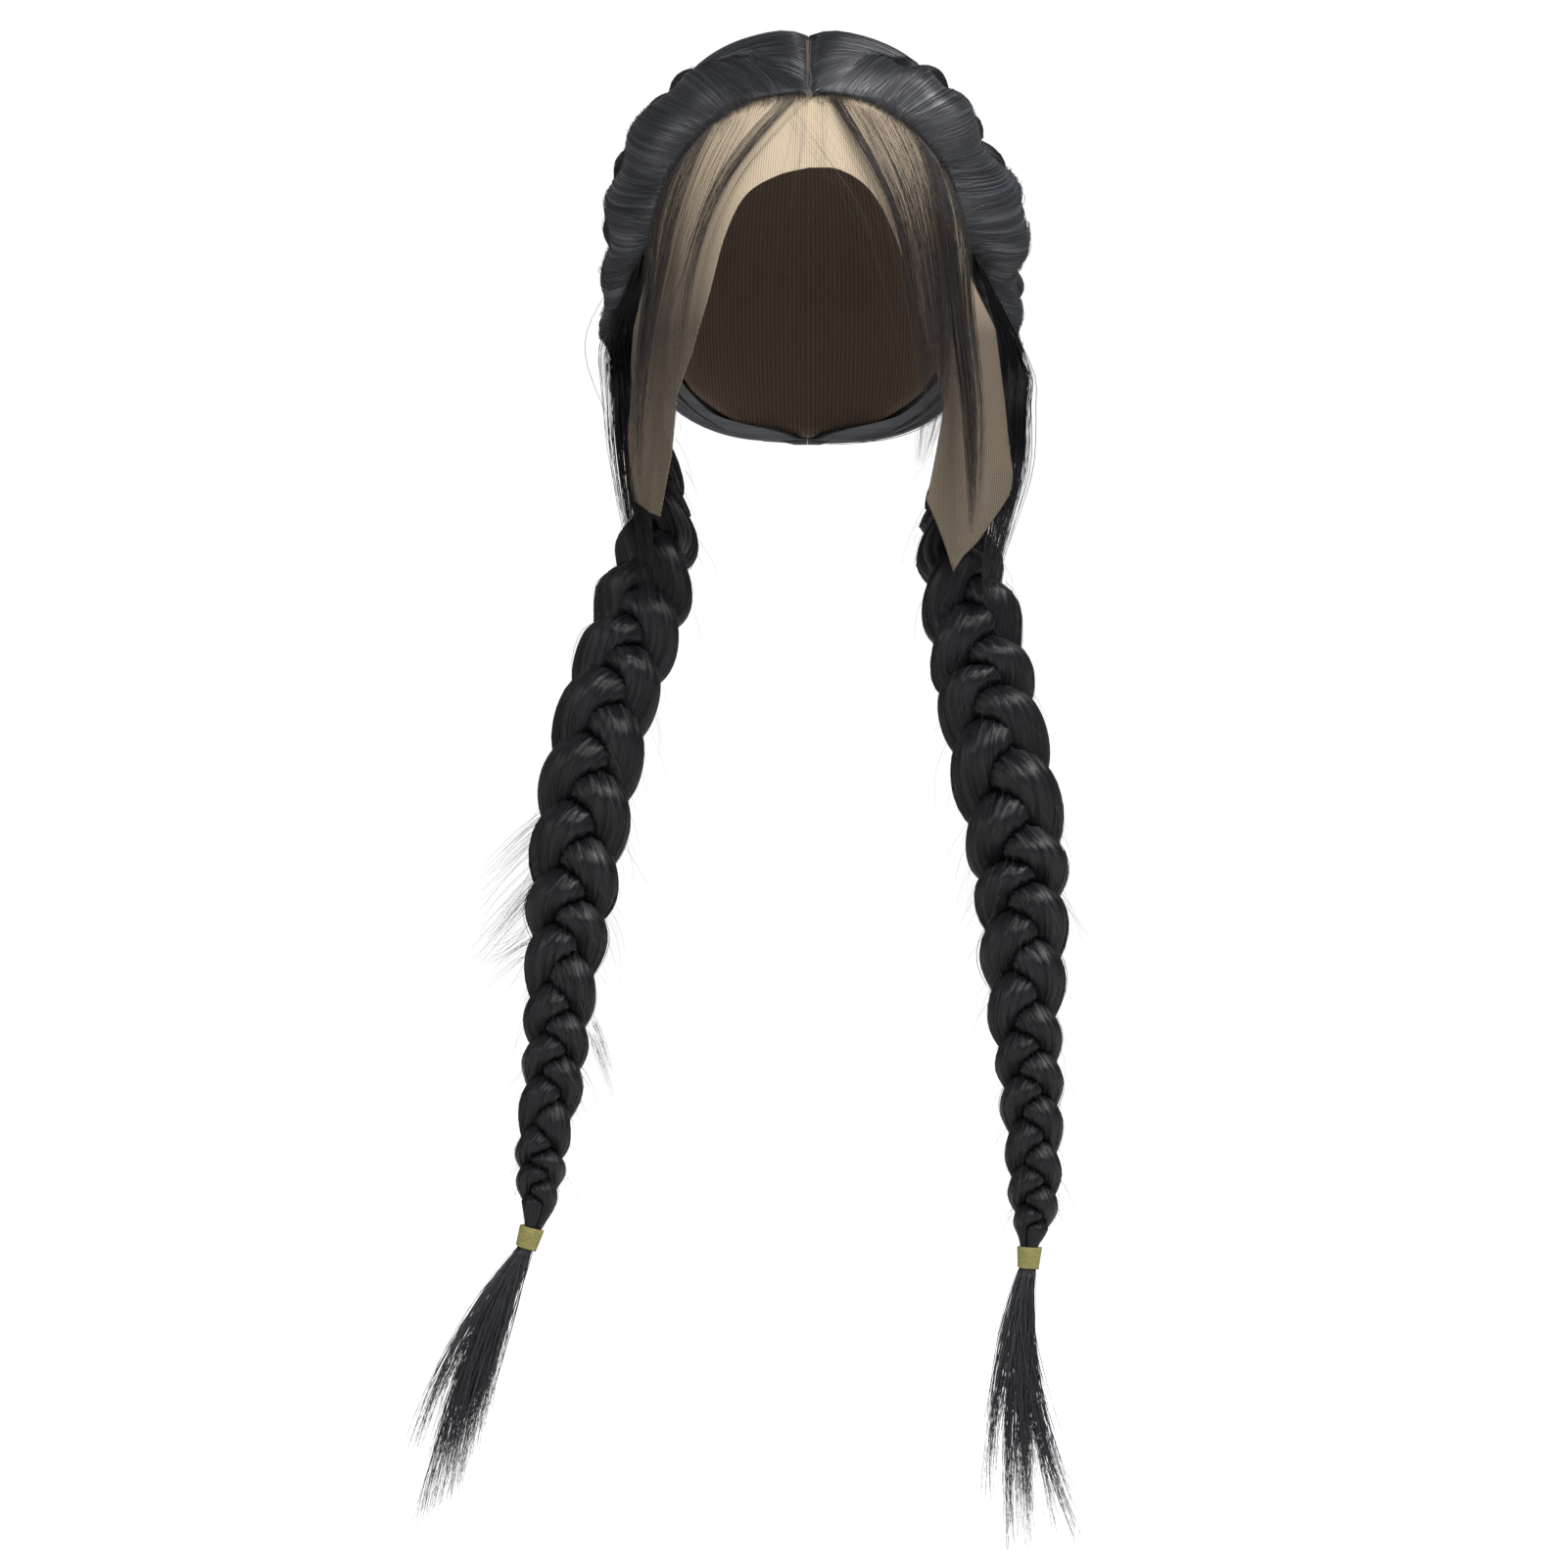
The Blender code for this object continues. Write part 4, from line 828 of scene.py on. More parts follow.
def line_cover(side):
    """Closed sheet of hair along the fibres that leave the hairline, thin at its rooted edge.

    At the nape its roots are drawn to the middle plane, so that both halves meet there.
    """
    fibres, steps = 240, 34
    order = np.linspace(0, 1, fibres)
    direction, height, at = line_flow(side, order, 0 * order, steps)
    t = shares(steps)
    at_root = 1 - ease(t / 0.12)
    height = height - 0.0010 * at_root
    wall = COVER_WALL * (0.15 + 0.85 * ease(t / 0.1))
    sheets = [on_head(direction, height)[:, 1:], on_head(direction, height - wall)[:, 1:]]
    least = 0.00002 + 0.0009 * (1 - ease((at - 11) / 2))[:, None]
    drawn = ease((at - 13.0) / 0.95)[:, None] * at_root[:, 1:]
    for sheet in sheets:
        beyond = np.maximum(SIDES[side] * sheet[:, :, 0] - least, 0)
        sheet[:, :, 0] = SIDES[side] * (least + beyond * (1 - drawn))
    return closed_sheet(*(sheet.transpose(1, 0, 2) for sheet in sheets))


def part_hairs(side, look):
    """Fibre locks that lie on the sheet from the part."""
    count, steps = look.part_hairs, 15
    dice = dice_for(side, 11)
    order = (np.arange(count) + dice.uniform(0, 1, count)) / count
    mess = clump_noise(order, 60, 7) + dice.normal(0, 0.5, count)
    direction, turn = part_flow(side, order, mess, steps)
    t = shares(steps)
    lift = 0.0003 + 0.0003 * clump_noise(order, 110, 5)[:, None] + dice.uniform(-0.0002, 0.0003, (count, 1))
    offset = rest_height(direction, side) + lift - 0.0045 * ease((t - DIVE_FROM) / (1 - DIVE_FROM))
    paths = on_head(direction, np.maximum(offset, HAIR_CLEAR + HAIR_ABOVE_CAP))
    keep_to_side(paths, side, part_gap(turn)[:, None] + dice.uniform(0, 0.0003, (count, 1)))
    radii = look.fibre * dice.uniform(0.6, 1.3, (count, 1)) * (0.4 + 0.6 * np.sin(np.pi * t) ** 0.5)
    return tubes(paths, radii, 21)


def line_hairs(side, look):
    """Fibre locks that lie on the sheet from the hairline, each rooted in the lace."""
    count, steps = look.line_hairs, 16
    dice = dice_for(side, 31)
    order = (np.arange(count) + dice.uniform(0, 1, count)) / count
    mess = clump_noise(order, 60, 8) + dice.normal(0, 0.7, count)
    direction, height, at = line_flow(side, order, mess, steps)
    t = shares(steps)
    root = dice.exponential(0.9, count) * (at < 9)
    drop = np.radians(root)[:, None] * (1 - ease(t / 0.3))
    direction = unit(direction - drop[..., None] * np.array([0, 0, 1.0]))
    lift = 0.0002 + 0.0003 * clump_noise(order, 110, 6)[:, None] + dice.exponential(0.0003, (count, 1))
    paths = on_head(direction, height + lift * np.sin(np.pi * t) ** 0.5)
    keep_to_side(paths, side, 0.0008 + dice.uniform(0, 0.0008, (count, 1)))
    radii = look.fibre * dice.uniform(0.4, 1.0, (count, 1)) * (0.65 + 0.35 * ease(t / 0.3))
    radii[:, -1] *= 0.5
    return tubes(paths, radii, 22)


def head_strands(side, look):
    """The three strands of the braid on the head, sunk halfway into the hair and lifted off the cap."""
    share = np.linspace(0, 0.97, int(SEEN_LOBES * look.rings) + 1)
    spots, width, ahead, _ = head_line(side, share)
    out = unit(spots - HEAD_CENTRE)
    out = unit(out - (out * ahead).sum(1)[:, None] * ahead)
    phase = BRAID_PHASE[side] + LOBE_TURN * SEEN_LOBES * share
    width = width * (0.30 + 0.70 * ease(share / 0.15))
    rows = (spots, width, np.full_like(width, HEAD_BRAID_DEPTH), phase, np.cross(out, ahead), out)
    rings = [strand_rings(rows, index, look, 50 + index) for index in range(3)]
    return [lift_off_head(ring, HAIR_CLEAR + STRAND_ABOVE_CAP) for ring in rings]


def surface_hairs(rings, count, span, look, seed):
    """Loose fibres on a strand: each follows the rings for a stretch and wanders a little round them."""
    dice = np.random.default_rng(seed)
    total, sides = rings.shape[:2]
    span = dice.uniform(0.6, 1.0, (count, 1)) * min(span, total - 2)
    begin = dice.uniform(-0.2, 1.0, (count, 1)) * (total - 1 - span)
    share = np.linspace(0, 1, 12)[None]
    at = np.clip(begin + span * share, 0, total - 1.001)
    angle = (dice.uniform(0, sides, (count, 1)) + dice.normal(0, 1.5, (count, 1)) * share) % sides
    row, column = np.floor(at).astype(int), np.floor(angle).astype(int) % sides
    f, g = (at - row)[..., None], (angle - np.floor(angle))[..., None]
    after = (column + 1) % sides
    on = ((rings[row, column] * (1 - g) + rings[row, after] * g) * (1 - f)
          + (rings[row + 1, column] * (1 - g) + rings[row + 1, after] * g) * f)
    centre = rings.mean(axis=1)
    core = centre[row] * (1 - f) + centre[row + 1] * f
    arch = np.sin(np.pi * share)[..., None]
    paths = on + unit(on - core) * (0.00005 + dice.exponential(0.00035, (count, 1, 1)) * arch)
    radii = look.fibre * dice.uniform(0.35, 0.9, (count, 1)) * (0.3 + 0.7 * arch[..., 0])
    return tubes(paths, radii, seed + 1)


def tie_axis(side):
    """Direction of the tie from its top to its foot."""
    lean = np.radians(TIE_LEAN[side])
    return np.array([-np.sin(lean), 0.0, -np.cos(lean)])


def links(tree, *pairs):
    """Joins sockets of a node tree, each pair an output and an input."""
    for out, into in pairs:
        tree.links.new(out, into)


def add_node(tree, kind, values=(), **settings):
    """New shader node with its settings, and its input values by name or number."""
    made = tree.nodes.new("ShaderNode" + kind)
    for name, value in settings.items():
        setattr(made, name, value)
    for socket, value in dict(values).items():
        made.inputs[socket].default_value = value
    return made


def node_group(name, inputs, outputs, fill):
    """Node group, built once: its sockets, and the nodes that the fill function puts between them."""
    group = bpy.data.node_groups.get(name)
    if group:
        return group
    group = bpy.data.node_groups.new(name, "ShaderNodeTree")
    for socket in inputs:
        kind = "NodeSocketVector" if socket == "Map" else "NodeSocketFloat"
        group.interface.new_socket(socket, in_out="INPUT", socket_type=kind)
    for socket in outputs:
        group.interface.new_socket(socket, in_out="OUTPUT", socket_type="NodeSocketFloat")
    inside, outside = group.nodes.new("NodeGroupInput"), group.nodes.new("NodeGroupOutput")
    fill(group, inside.outputs, outside.inputs)
    return group


def fill_streaks(group, given, gives):
    """Streaks along a fibre map: coarse and fine noise on the stretched map, added and spread."""
    scale = add_node(group, "CombineXYZ")
    stretched = add_node(group, "VectorMath", operation="MULTIPLY")
    coarse = add_node(group, "TexNoise", {"Scale": 0.22, "Detail": 2.0})
    fine = add_node(group, "TexNoise", {"Scale": 1.0, "Detail": 2.0})
    both = add_node(group, "Math", operation="ADD")
    spread = add_node(group, "MapRange", {"From Min": 0.72, "From Max": 1.30})
    links(group, (given["Across"], scale.inputs["X"]), (given["Along"], scale.inputs["Y"]),
          (given["Map"], stretched.inputs[0]), (scale.outputs[0], stretched.inputs[1]),
          (stretched.outputs[0], coarse.inputs["Vector"]), (stretched.outputs[0], fine.inputs["Vector"]),
          (coarse.outputs["Fac"], both.inputs[0]), (fine.outputs["Fac"], both.inputs[1]),
          (both.outputs[0], spread.inputs["Value"]), (spread.outputs[0], gives["Streak"]),
          (fine.outputs["Fac"], gives["Height"]))


def fill_net(group, given, gives):
    """Net of threads, thinner across than upright: the distance to the nearest thread, as a soft mask."""
    parts = add_node(group, "SeparateXYZ")
    nearest = add_node(group, "Math", operation="MINIMUM")
    links(group, (given["Map"], parts.inputs[0]))
    for number, (axis, weight) in enumerate((("X", 1.0), ("Y", 2.4))):
        count = add_node(group, "Math", operation="DIVIDE")
        fold = add_node(group, "Math", {1: 0.5}, operation="PINGPONG")
        finer = add_node(group, "Math", {1: weight}, operation="MULTIPLY")
        links(group, (parts.outputs[axis], count.inputs[0]), (given["Pitch"], count.inputs[1]),
              (count.outputs[0], fold.inputs[0]), (fold.outputs[0], finer.inputs[0]),
              (finer.outputs[0], nearest.inputs[number]))
    share = add_node(group, "Math", operation="DIVIDE")
    mask = add_node(group, "MapRange", {"From Min": 1.4, "From Max": 0.6}, interpolation_type="SMOOTHSTEP")
    links(group, (nearest.outputs[0], share.inputs[0]), (given["Width"], share.inputs[1]),
          (share.outputs[0], mask.inputs["Value"]), (mask.outputs[0], gives["Thread"]),
          (mask.outputs[0], gives["Height"]))


def patterned_material(name, group, values, strength, distance):
    """Material whose fibre map feeds a node group, with the group's height as bump.

    Returns the material, its tree, its Principled shader and the group's outputs.
    """
    made = bpy.data.materials.new(name)
    made.use_nodes = True
    tree = made.node_tree
    shader = tree.nodes["Principled BSDF"]
    place = add_node(tree, "UVMap", uv_map="fibre")
    pattern = add_node(tree, "Group", values, node_tree=group)
    bump = add_node(tree, "Bump", {"Strength": strength, "Distance": distance})
    links(tree, (place.outputs["UV"], pattern.inputs["Map"]),
          (pattern.outputs["Height"], bump.inputs["Height"]), (bump.outputs[0], shader.inputs["Normal"]))
    return made, tree, shader, pattern.outputs


def hair_material(name, dark, light, across, along, rough, sheen):
    """Hair: streaks along the fibres in colour, roughness and bump."""
    found = bpy.data.materials.get(name)
    if found:
        return found
    group = node_group("fibre_streaks", ("Map", "Across", "Along"), ("Streak", "Height"), fill_streaks)
    made, tree, shader, streaks = patterned_material(name, group, {"Across": across, "Along": along},
                                                     0.6, 0.0003)
    # For smooth hair the lighter colour is painted sheen, and for thin hair painted brown backlight; for the
    # threads it is their own colour
    tint = add_node(tree, "Mix", {6: (*dark, 1), 7: (*light, 1)}, data_type="RGBA")
    gloss = add_node(tree, "MapRange", {"To Min": rough + 0.10, "To Max": rough - 0.06})
    tangent = add_node(tree, "Tangent", direction_type="UV_MAP", uv_map="fibre")
    links(tree, (streaks["Streak"], tint.inputs[0]), (tint.outputs[2], shader.inputs["Base Color"]),
          (streaks["Streak"], gloss.inputs["Value"]), (gloss.outputs[0], shader.inputs["Roughness"]),
          (tangent.outputs[0], shader.inputs["Tangent"]))
    shader.inputs["Anisotropic"].default_value = 0.75
    shader.inputs["Specular IOR Level"].default_value = sheen
    return made


def wig_hair(kind):
    """Hair of a kind: black in braids, smooth where combed with painted sheen, thin with painted brown
    backlight.
    """
    look = bpy.context.scene.wig_hair
    kinds = {
        "black": (look.dark, look.light, 1100.0, 16.0, 0.42, 0.28),
        # Smooth hair: its lighter streaks are painted sheen
        "smooth": (look.light, look.sheen, 1100.0, 16.0, 0.40, 0.75),
        # Thin hair: its brown streaks are painted backlight
        "thin": (look.light, look.backlit_brown, 900.0, 25.0, 0.42, 0.5),
    }
    return hair_material("hair_" + kind, *kinds[kind])


def net_material(name, thread, film, high_film, pitch, width, clear):
    """Net: threads on a film in colour, bump and alpha. The film is paler above the cheeks."""
    group = node_group("net_threads", ("Map", "Pitch", "Width"), ("Thread", "Height"), fill_net)
    made, tree, shader, net = patterned_material(name, group, {"Pitch": pitch, "Width": width}, 0.5, 0.0002)
    spot, parts = add_node(tree, "TexCoord"), add_node(tree, "SeparateXYZ")
    level = add_node(tree, "MapRange", {"From Min": CHEEK_HEIGHT, "From Max": TEMPLE_HEIGHT})
    films = add_node(tree, "Mix", {6: (*film, 1), 7: (*high_film, 1)}, data_type="RGBA")
    tint = add_node(tree, "Mix", {7: (*thread, 1)}, data_type="RGBA")
    sheer = add_node(tree, "MapRange", {"To Min": clear, "To Max": 1.0})
    links(tree, (spot.outputs["Object"], parts.inputs[0]), (parts.outputs["Z"], level.inputs["Value"]),
          (level.outputs[0], films.inputs[0]), (films.outputs[2], tint.inputs[6]),
          (net["Thread"], tint.inputs[0]), (tint.outputs[2], shader.inputs["Base Color"]),
          (net["Thread"], sheer.inputs["Value"]), (sheer.outputs[0], shader.inputs["Alpha"]))
    shader.inputs["Roughness"].default_value = 0.75
    shader.inputs["Specular IOR Level"].default_value = 0.2
    return made


def thread_material():
    """Wound thread: twisted plies in colour and bump."""
    look = bpy.context.scene.wig_tie
    light = tuple(1.35 * c for c in look.colour)
    dark = tuple(0.45 * c for c in look.colour)
    return hair_material("tie_thread", dark, light, 4200.0, 1800.0, 0.62, 0.9)


def seen_as(tree, socket, lighting, camera):
    """Feeds a socket one value for the light it gives and another for what the camera sees."""
    path = add_node(tree, "LightPath")
    value = add_node(tree, "MapRange", {"To Min": lighting, "To Max": camera})
    links(tree, (path.outputs["Is Camera Ray"], value.inputs["Value"]), (value.outputs[0], socket))

class WIG_OT_stage(bpy.types.Operator):
    """Makes the pale floor, the lights and the camera"""

    bl_idname = "wig.stage"
    bl_label = "Stage"

    def execute(self, context):
        look = context.scene.wig_stage
        mesh = bpy.data.meshes.new("floor")
        reach = 9.0
        corners = ((-reach, -reach), (reach, -reach), (reach, reach), (-reach, reach))
        mesh.from_pydata([(x, y, look.floor) for x, y in corners], [], [(0, 1, 2, 3)])
        paper = bpy.data.materials.new("floor_paper")
        paper.use_nodes = True
        shader = paper.node_tree.nodes["Principled BSDF"]
        shader.inputs["Base Color"].default_value = (0.90, 0.90, 0.90, 1)
        shader.inputs["Roughness"].default_value = 0.9
        shader.inputs["Emission Color"].default_value = (1.0, 1.0, 1.0, 1)
        seen_as(paper.node_tree, shader.inputs["Emission Strength"], 0.0, 0.80)
        mesh.materials.append(paper)
        put_in_scene("floor", mesh)
        world = bpy.data.worlds.new("studio")
        world.use_nodes = True
        sky = world.node_tree.nodes["Background"]
        sky.inputs["Color"].default_value = (1.0, 1.0, 1.0, 1)
        seen_as(world.node_tree, sky.inputs["Strength"], look.soft, 1.0)
        context.scene.world = world
        for name, power in (("key", look.key), ("fill", look.fill), ("top", look.top)):
            place, aim, size = LAMPS[name]
            lamp = bpy.data.lights.new(name, "AREA")
            lamp.size = size
            lamp.energy = power
            made = put_in_scene(name, lamp)
            made.location = place
            arm = Vector(place) - Vector(aim)
            made.rotation_euler = arm.to_track_quat("Z", "Y").to_euler()
        lens = bpy.data.cameras.new("camera")
        lens.lens = look.lens
        lens.sensor_width = 36.0
        camera = put_in_scene("camera", lens)
        camera.location = CAMERA
        camera.rotation_euler = (np.pi / 2, 0.0, 0.0)
        context.scene.camera = camera
        context.scene.view_settings.view_transform = "Standard"
        return {"FINISHED"}


class WIG_OT_cap(bpy.types.Operator):
    """Makes the net cap under the hair"""

    bl_idname = "wig.cap"
    bl_label = "Cap"

    def execute(self, context):
        look = context.scene.wig_lace
        around = np.linspace(-180, 180, 145)[:-1]
        table = np.vstack([SEAM, RIM])
        low = np.interp(np.abs(around), table[:, 0], table[:, 1])
        share = np.linspace(0.004, 1, 49)[:, None]
        elevation = 90.0 + (low - 90.0)[None] * share
        direction = way(np.broadcast_to(around, elevation.shape), elevation)
        inner = on_head(direction, np.zeros_like(elevation))
        outer = on_head(direction, np.full_like(elevation, CAP_WALL))
        shell = closed_loft(np.concatenate([outer, inner[::-1]]))
        film = tuple(0.55 * c for c in look.net)
        net = net_material("cap_net", look.net, film, film, look.pitch * 1.6, 0.17, 1.0)
        add_piece("wig_cap", [shell], net, ("cap",))
        return {"FINISHED"}


def lace_block(side):
    """Middle surface of one side's lace, from the seam down to its edge, where the tab flares and ripples.

    The rows share out the height at each azimuth, and the azimuth moves to the edge's with their cube.
    """
    sign = SIDES[side]
    at = np.linspace(0, len(SEAM) - 1, (len(SEAM) - 1) * 6 + 1)
    seam, edge = (np.stack([np.interp(at, np.arange(len(SEAM)), table[:, i]) for i in (0, 1)], -1)
                  for table in (SEAM, LACE_EDGE[side]))
    round_edge = curve_through(LACE_EDGE[side], at)[:, :2]
    edge += (round_edge - edge) * ease((edge[:, 1:] - TAB_TOP) / 0.03)
    slope = np.gradient(seam[:, 1], seam[:, 0])
    top = seam[:, 1] - SEAM_GAP * np.sqrt(1 + slope ** 2)
    start = on_head(way(seam[:, 0], top), LACE_MIDDLE + 0 * top)[:, 2]
    share = np.linspace(0, 1, LACE_ROWS + 1)[:, None]
    height = start + (edge[:, 1] - start) * share
    azimuth = seam[:, 0] + (edge[:, 0] - seam[:, 0]) * share ** 3
    flare = np.interp(-height, -LACE_FLARE[side][:, 0], LACE_FLARE[side][:, 1])
    flare = flare * ease((azimuth - FLARE_FROM) / (FLARE_TO - FLARE_FROM))
    ripple = 0.0009 * np.sin(azimuth * 0.35 + 60 * height) * ease((share - 0.6) / 0.4)
    return on_drape(azimuth * sign, height, LACE_MIDDLE + flare + ripple * (flare > 0.001))


class WIG_OT_lace(bpy.types.Operator):
    """Makes the sheer lace over the forehead with its two free tabs, and the threads that show in the part"""

    bl_idname = "wig.lace"
    bl_label = "Lace front"

    def execute(self, context):
        look = context.scene.wig_lace
        middle = np.concatenate([lace_block("left")[:, ::-1], lace_block("right")[:, 1:]], axis=1)
        normal = unit(np.cross(np.gradient(middle, axis=1), np.gradient(middle, axis=0)))
        normal *= np.sign((normal * (middle - HEAD_CENTRE)).sum(-1, keepdims=True))
        outer, inner = middle + normal * look.wall / 2, middle - normal * look.wall / 2
        around = np.arctan2(middle[..., 0], HEAD_CENTRE[1] - middle[..., 1]) * FOREHEAD_RADIUS
        sheet = closed_sheet(outer, inner, np.stack([around, middle[..., 2]], -1))
        net = net_material("lace_net", look.thread, look.film, look.high_film, look.pitch, 0.11, 0.84)
        lace = add_piece("wig_lace", [sheet], net, ("lace_front",))
        turn = np.radians(np.linspace(44, 84, 60))
        direction = over_top(turn)
        height = rest_height(direction, "left") - 0.0009 * ease((np.degrees(turn) - 45) / 3)
        paths = np.stack([on_head(direction, height)] * 3)
        paths[:, :, 0] = np.array([[-1], [0], [1]]) * PART_THREAD_GAP
        radii = np.full(paths.shape[:2], 0.00017)
        part_thread = hair_material("part_thread", (0.22, 0.17, 0.12), (0.42, 0.34, 0.26),
                                    3000.0, 900.0, 0.7, 0.6)
        add_piece("wig_part_threads", [tubes(paths, radii, 9)], part_thread)
        return {"FINISHED"}


class WIG_OT_crown(bpy.types.Operator):
    """Makes both halves of the hair on the head, fed in sections into the braids"""

    bl_idname = "wig.crown"
    bl_label = "Hair on the head"

    def execute(self, context):
        look, braid = context.scene.wig_hair, context.scene.wig_braid
        for side in SIDES:
            parts = [crown_shell(side), part_cover(side), line_cover(side)]
            parts += [part_hairs(side, look), line_hairs(side, look)]
            # The smooth hair carries painted sheen streaks in its colour
            add_piece("wig_hair_" + side, parts, wig_hair("smooth"), ("hair_" + side,))
            parts = []
            for index, rings in enumerate(head_strands(side, braid)):
                parts += [closed_loft(rings), surface_hairs(rings, 110, 18, look, 40 + index)]
            add_piece("wig_head_braid_" + side, parts, wig_hair("black"))
        return {"FINISHED"}


class WIG_OT_braids(bpy.types.Operator):
    """Makes the three strands of each hanging braid, with loose fibres on them"""

    bl_idname = "wig.braids"
    bl_label = "Hanging braids"

    def execute(self, context):
        look, braid = context.scene.wig_hair, context.scene.wig_braid
        for side in SIDES:
            rows = hanging_frame(side, braid)
            for index, letter in enumerate("abc"):
                rings = strand_rings(rows, index, braid, 60 + index)
                rings = lift_off_head(rings, HAIR_CLEAR + STRAND_ABOVE_CAP)
                parts = [closed_loft(rings), surface_hairs(rings, 300, 30, look, 70 + index)]
                strand = "braid_%s_strand_%s" % (side, letter)
                add_piece("wig_" + strand, parts, wig_hair("black"), (strand,))
        return {"FINISHED"}


class WIG_OT_ties(bpy.types.Operator):
    """Makes the thread wound round each braid's end"""

    bl_idname = "wig.ties"
    bl_label = "Ties"

    def execute(self, context):
        look = context.scene.wig_tie
        for side in SIDES:
            axis = tie_axis(side)
            across = unit(np.cross(axis, np.array([0.0, 1.0, 0.0])))
            ahead = np.cross(axis, across)
            turn = np.linspace(0, 2 * np.pi * look.turns, look.turns * 40 + 1)
            share = turn / turn[-1]
            reach = TIE_TOP_RADIUS + (TIE_FOOT_RADIUS - TIE_TOP_RADIUS) * share - look.thread * 0.7
            centre = TIE_CENTRE[side] + axis * ((share - 0.5) * (TIE_HEIGHT - 2 * look.thread))[:, None]
            ray = np.cos(turn)[:, None] * across + np.sin(turn)[:, None] * ahead
            path = centre + ray * reach[:, None]
            ring = 2 * np.pi * np.arange(10) / 10
            rings = path[:, None] + look.thread * (np.cos(ring)[None, :, None] * ray[:, None]
                                                   - np.sin(ring)[None, :, None] * axis)
            hoop = np.linspace(0, 2 * np.pi, 33)[:-1]
            circle = np.cos(hoop)[:, None] * across + np.sin(hoop)[:, None] * ahead
            levels = np.array([-0.46, -0.2, 0.2, 0.46])
            sleeve = (TIE_CENTRE[side] + axis * (levels * TIE_HEIGHT)[:, None, None]
                      + circle[None] * (np.interp(levels, (-0.5, 0.5), (TIE_TOP_RADIUS, TIE_FOOT_RADIUS))
                                        - look.thread)[:, None, None])
            parts = [closed_loft(rings), closed_loft(sleeve)]
            add_piece("wig_tie_" + side, parts, thread_material(), ("tie_" + side,))
        return {"FINISHED"}


class WIG_OT_tails(bpy.types.Operator):
    """Makes the loose ends below the ties"""

    bl_idname = "wig.tails"
    bl_label = "Loose ends"

    def execute(self, context):
        look = context.scene.wig_hair
        for side in SIDES:
            count, steps = look.tail_hairs, 12
            dice = dice_for(side, 81)
            rows = TAIL[side]
            pick = dice.choice(len(rows), count, p=rows[:, 4] / rows[:, 4].sum())
            axis = tie_axis(side)
            angle = dice.uniform(0, 2 * np.pi, count)
            ring = np.sqrt(dice.uniform(0, 1, count)) * 0.0036
            begin = TIE_CENTRE[side] + axis * 0.003
            begin = begin + np.stack([ring * np.cos(angle), ring * np.sin(angle), 0 * ring], -1)
            reach = np.minimum(1.0, 0.60 + 0.46 * dice.beta(2.2, 1.1, count))
            tip = rows[pick, :3] + dice.normal(0, 1, (count, 3)) * np.array([0.0026, 0.0020, 0.0020])
            tip = begin + (tip - begin) * reach[:, None]
            length = np.linalg.norm(tip - begin, axis=1)[:, None]
            bulge = rows[pick, 3] * reach ** 2 + dice.normal(0, 0.0028, count)
            control = begin + axis * length * 0.35
            control = control + np.stack([bulge, dice.normal(0, 0.003, count), 0 * bulge], -1)
            t = shares(steps)[..., None]
            paths = bows(begin, control, tip, t)
            phase = t * dice.uniform(4, 9, (count, 1, 1)) + dice.uniform(0, 6, (count, 1, 1))
            paths = paths + 0.0007 * np.sin(phase) * t * np.array([1.0, 0.5, 0.0])
            taper = 1 - 0.8 * ease((t[..., 0] - 0.35) / 0.65)
            radii = look.fibre * dice.uniform(0.6, 1.3, (count, 1)) * taper
            strands = tubes(paths, radii, 83)
            # The tails take the smooth hair, with its painted sheen streaks
            add_piece("wig_tail_" + side, [strands], wig_hair("smooth"), ("tail_" + side,))
        return {"FINISHED"}


def lock_hairs(rows, count, clumps, edge, edge_width, fan, seed, look):
    """Fibres of a front lock: each keeps a share across the table's edges and draws near its clump."""
    steps = 16
    dice = np.random.default_rng(seed)
    share = dice.uniform(-0.04, 1.04, count)
    kind = dice.uniform(0, 1, count)
    share = np.where(kind < edge, dice.uniform(0.0, edge_width, count), share)
    share = np.where(kind > 1 - fan, dice.uniform(-0.75, 0.0, count), share)
    reach = 0.38 + 0.62 * dice.beta(1.5, 1.1, count)
    loose = dice.uniform(0, 1, count) < 0.22
    t = shares(steps)
    line = curve_through(rows, reach[:, None] * (len(rows) - 1) * t)
    middle = (np.round(share * clumps - 0.5) + 0.5) / clumps + dice.normal(0, 0.010, count)
    pull = np.where(loose, 0.1, dice.uniform(0.45, 0.9, count))[:, None]
    pulled = share[:, None] + (middle - share)[:, None] * pull * ease(t * 1.5)
    bend = np.where(loose, 0.22, 0.05)[:, None] * dice.normal(0, 1, (count, 1))
    pulled = pulled + bend * np.sin(t * dice.uniform(1.5, 4, (count, 1))) * t
    azimuth = line[..., 0] + (line[..., 2] - line[..., 0]) * pulled
    height = line[..., 1] + (line[..., 3] - line[..., 1]) * np.clip(pulled, 0, 1)
    offset = line[..., 4] + 0.0003 + 0.0026 * dice.uniform(0, 1, (count, 1)) * ease(t / 0.2)
    paths = on_drape(azimuth, height, offset)
    behind = unit(paths[:, 0] - HEAD_CENTRE) + np.array([0.0, 0.0, 0.035])
    root = on_head(unit(behind), np.full(count, 0.0024))
    paths = np.concatenate([root[:, None], paths], axis=1)
    along = shares(steps + 1)
    taper = (0.5 + 0.5 * ease(along / 0.5)) * (1 - 0.7 * ease((along - 0.5) / 0.5))
    return tubes(paths, look.fine * dice.uniform(0.45, 0.95, (count, 1)) * taper, seed + 1)


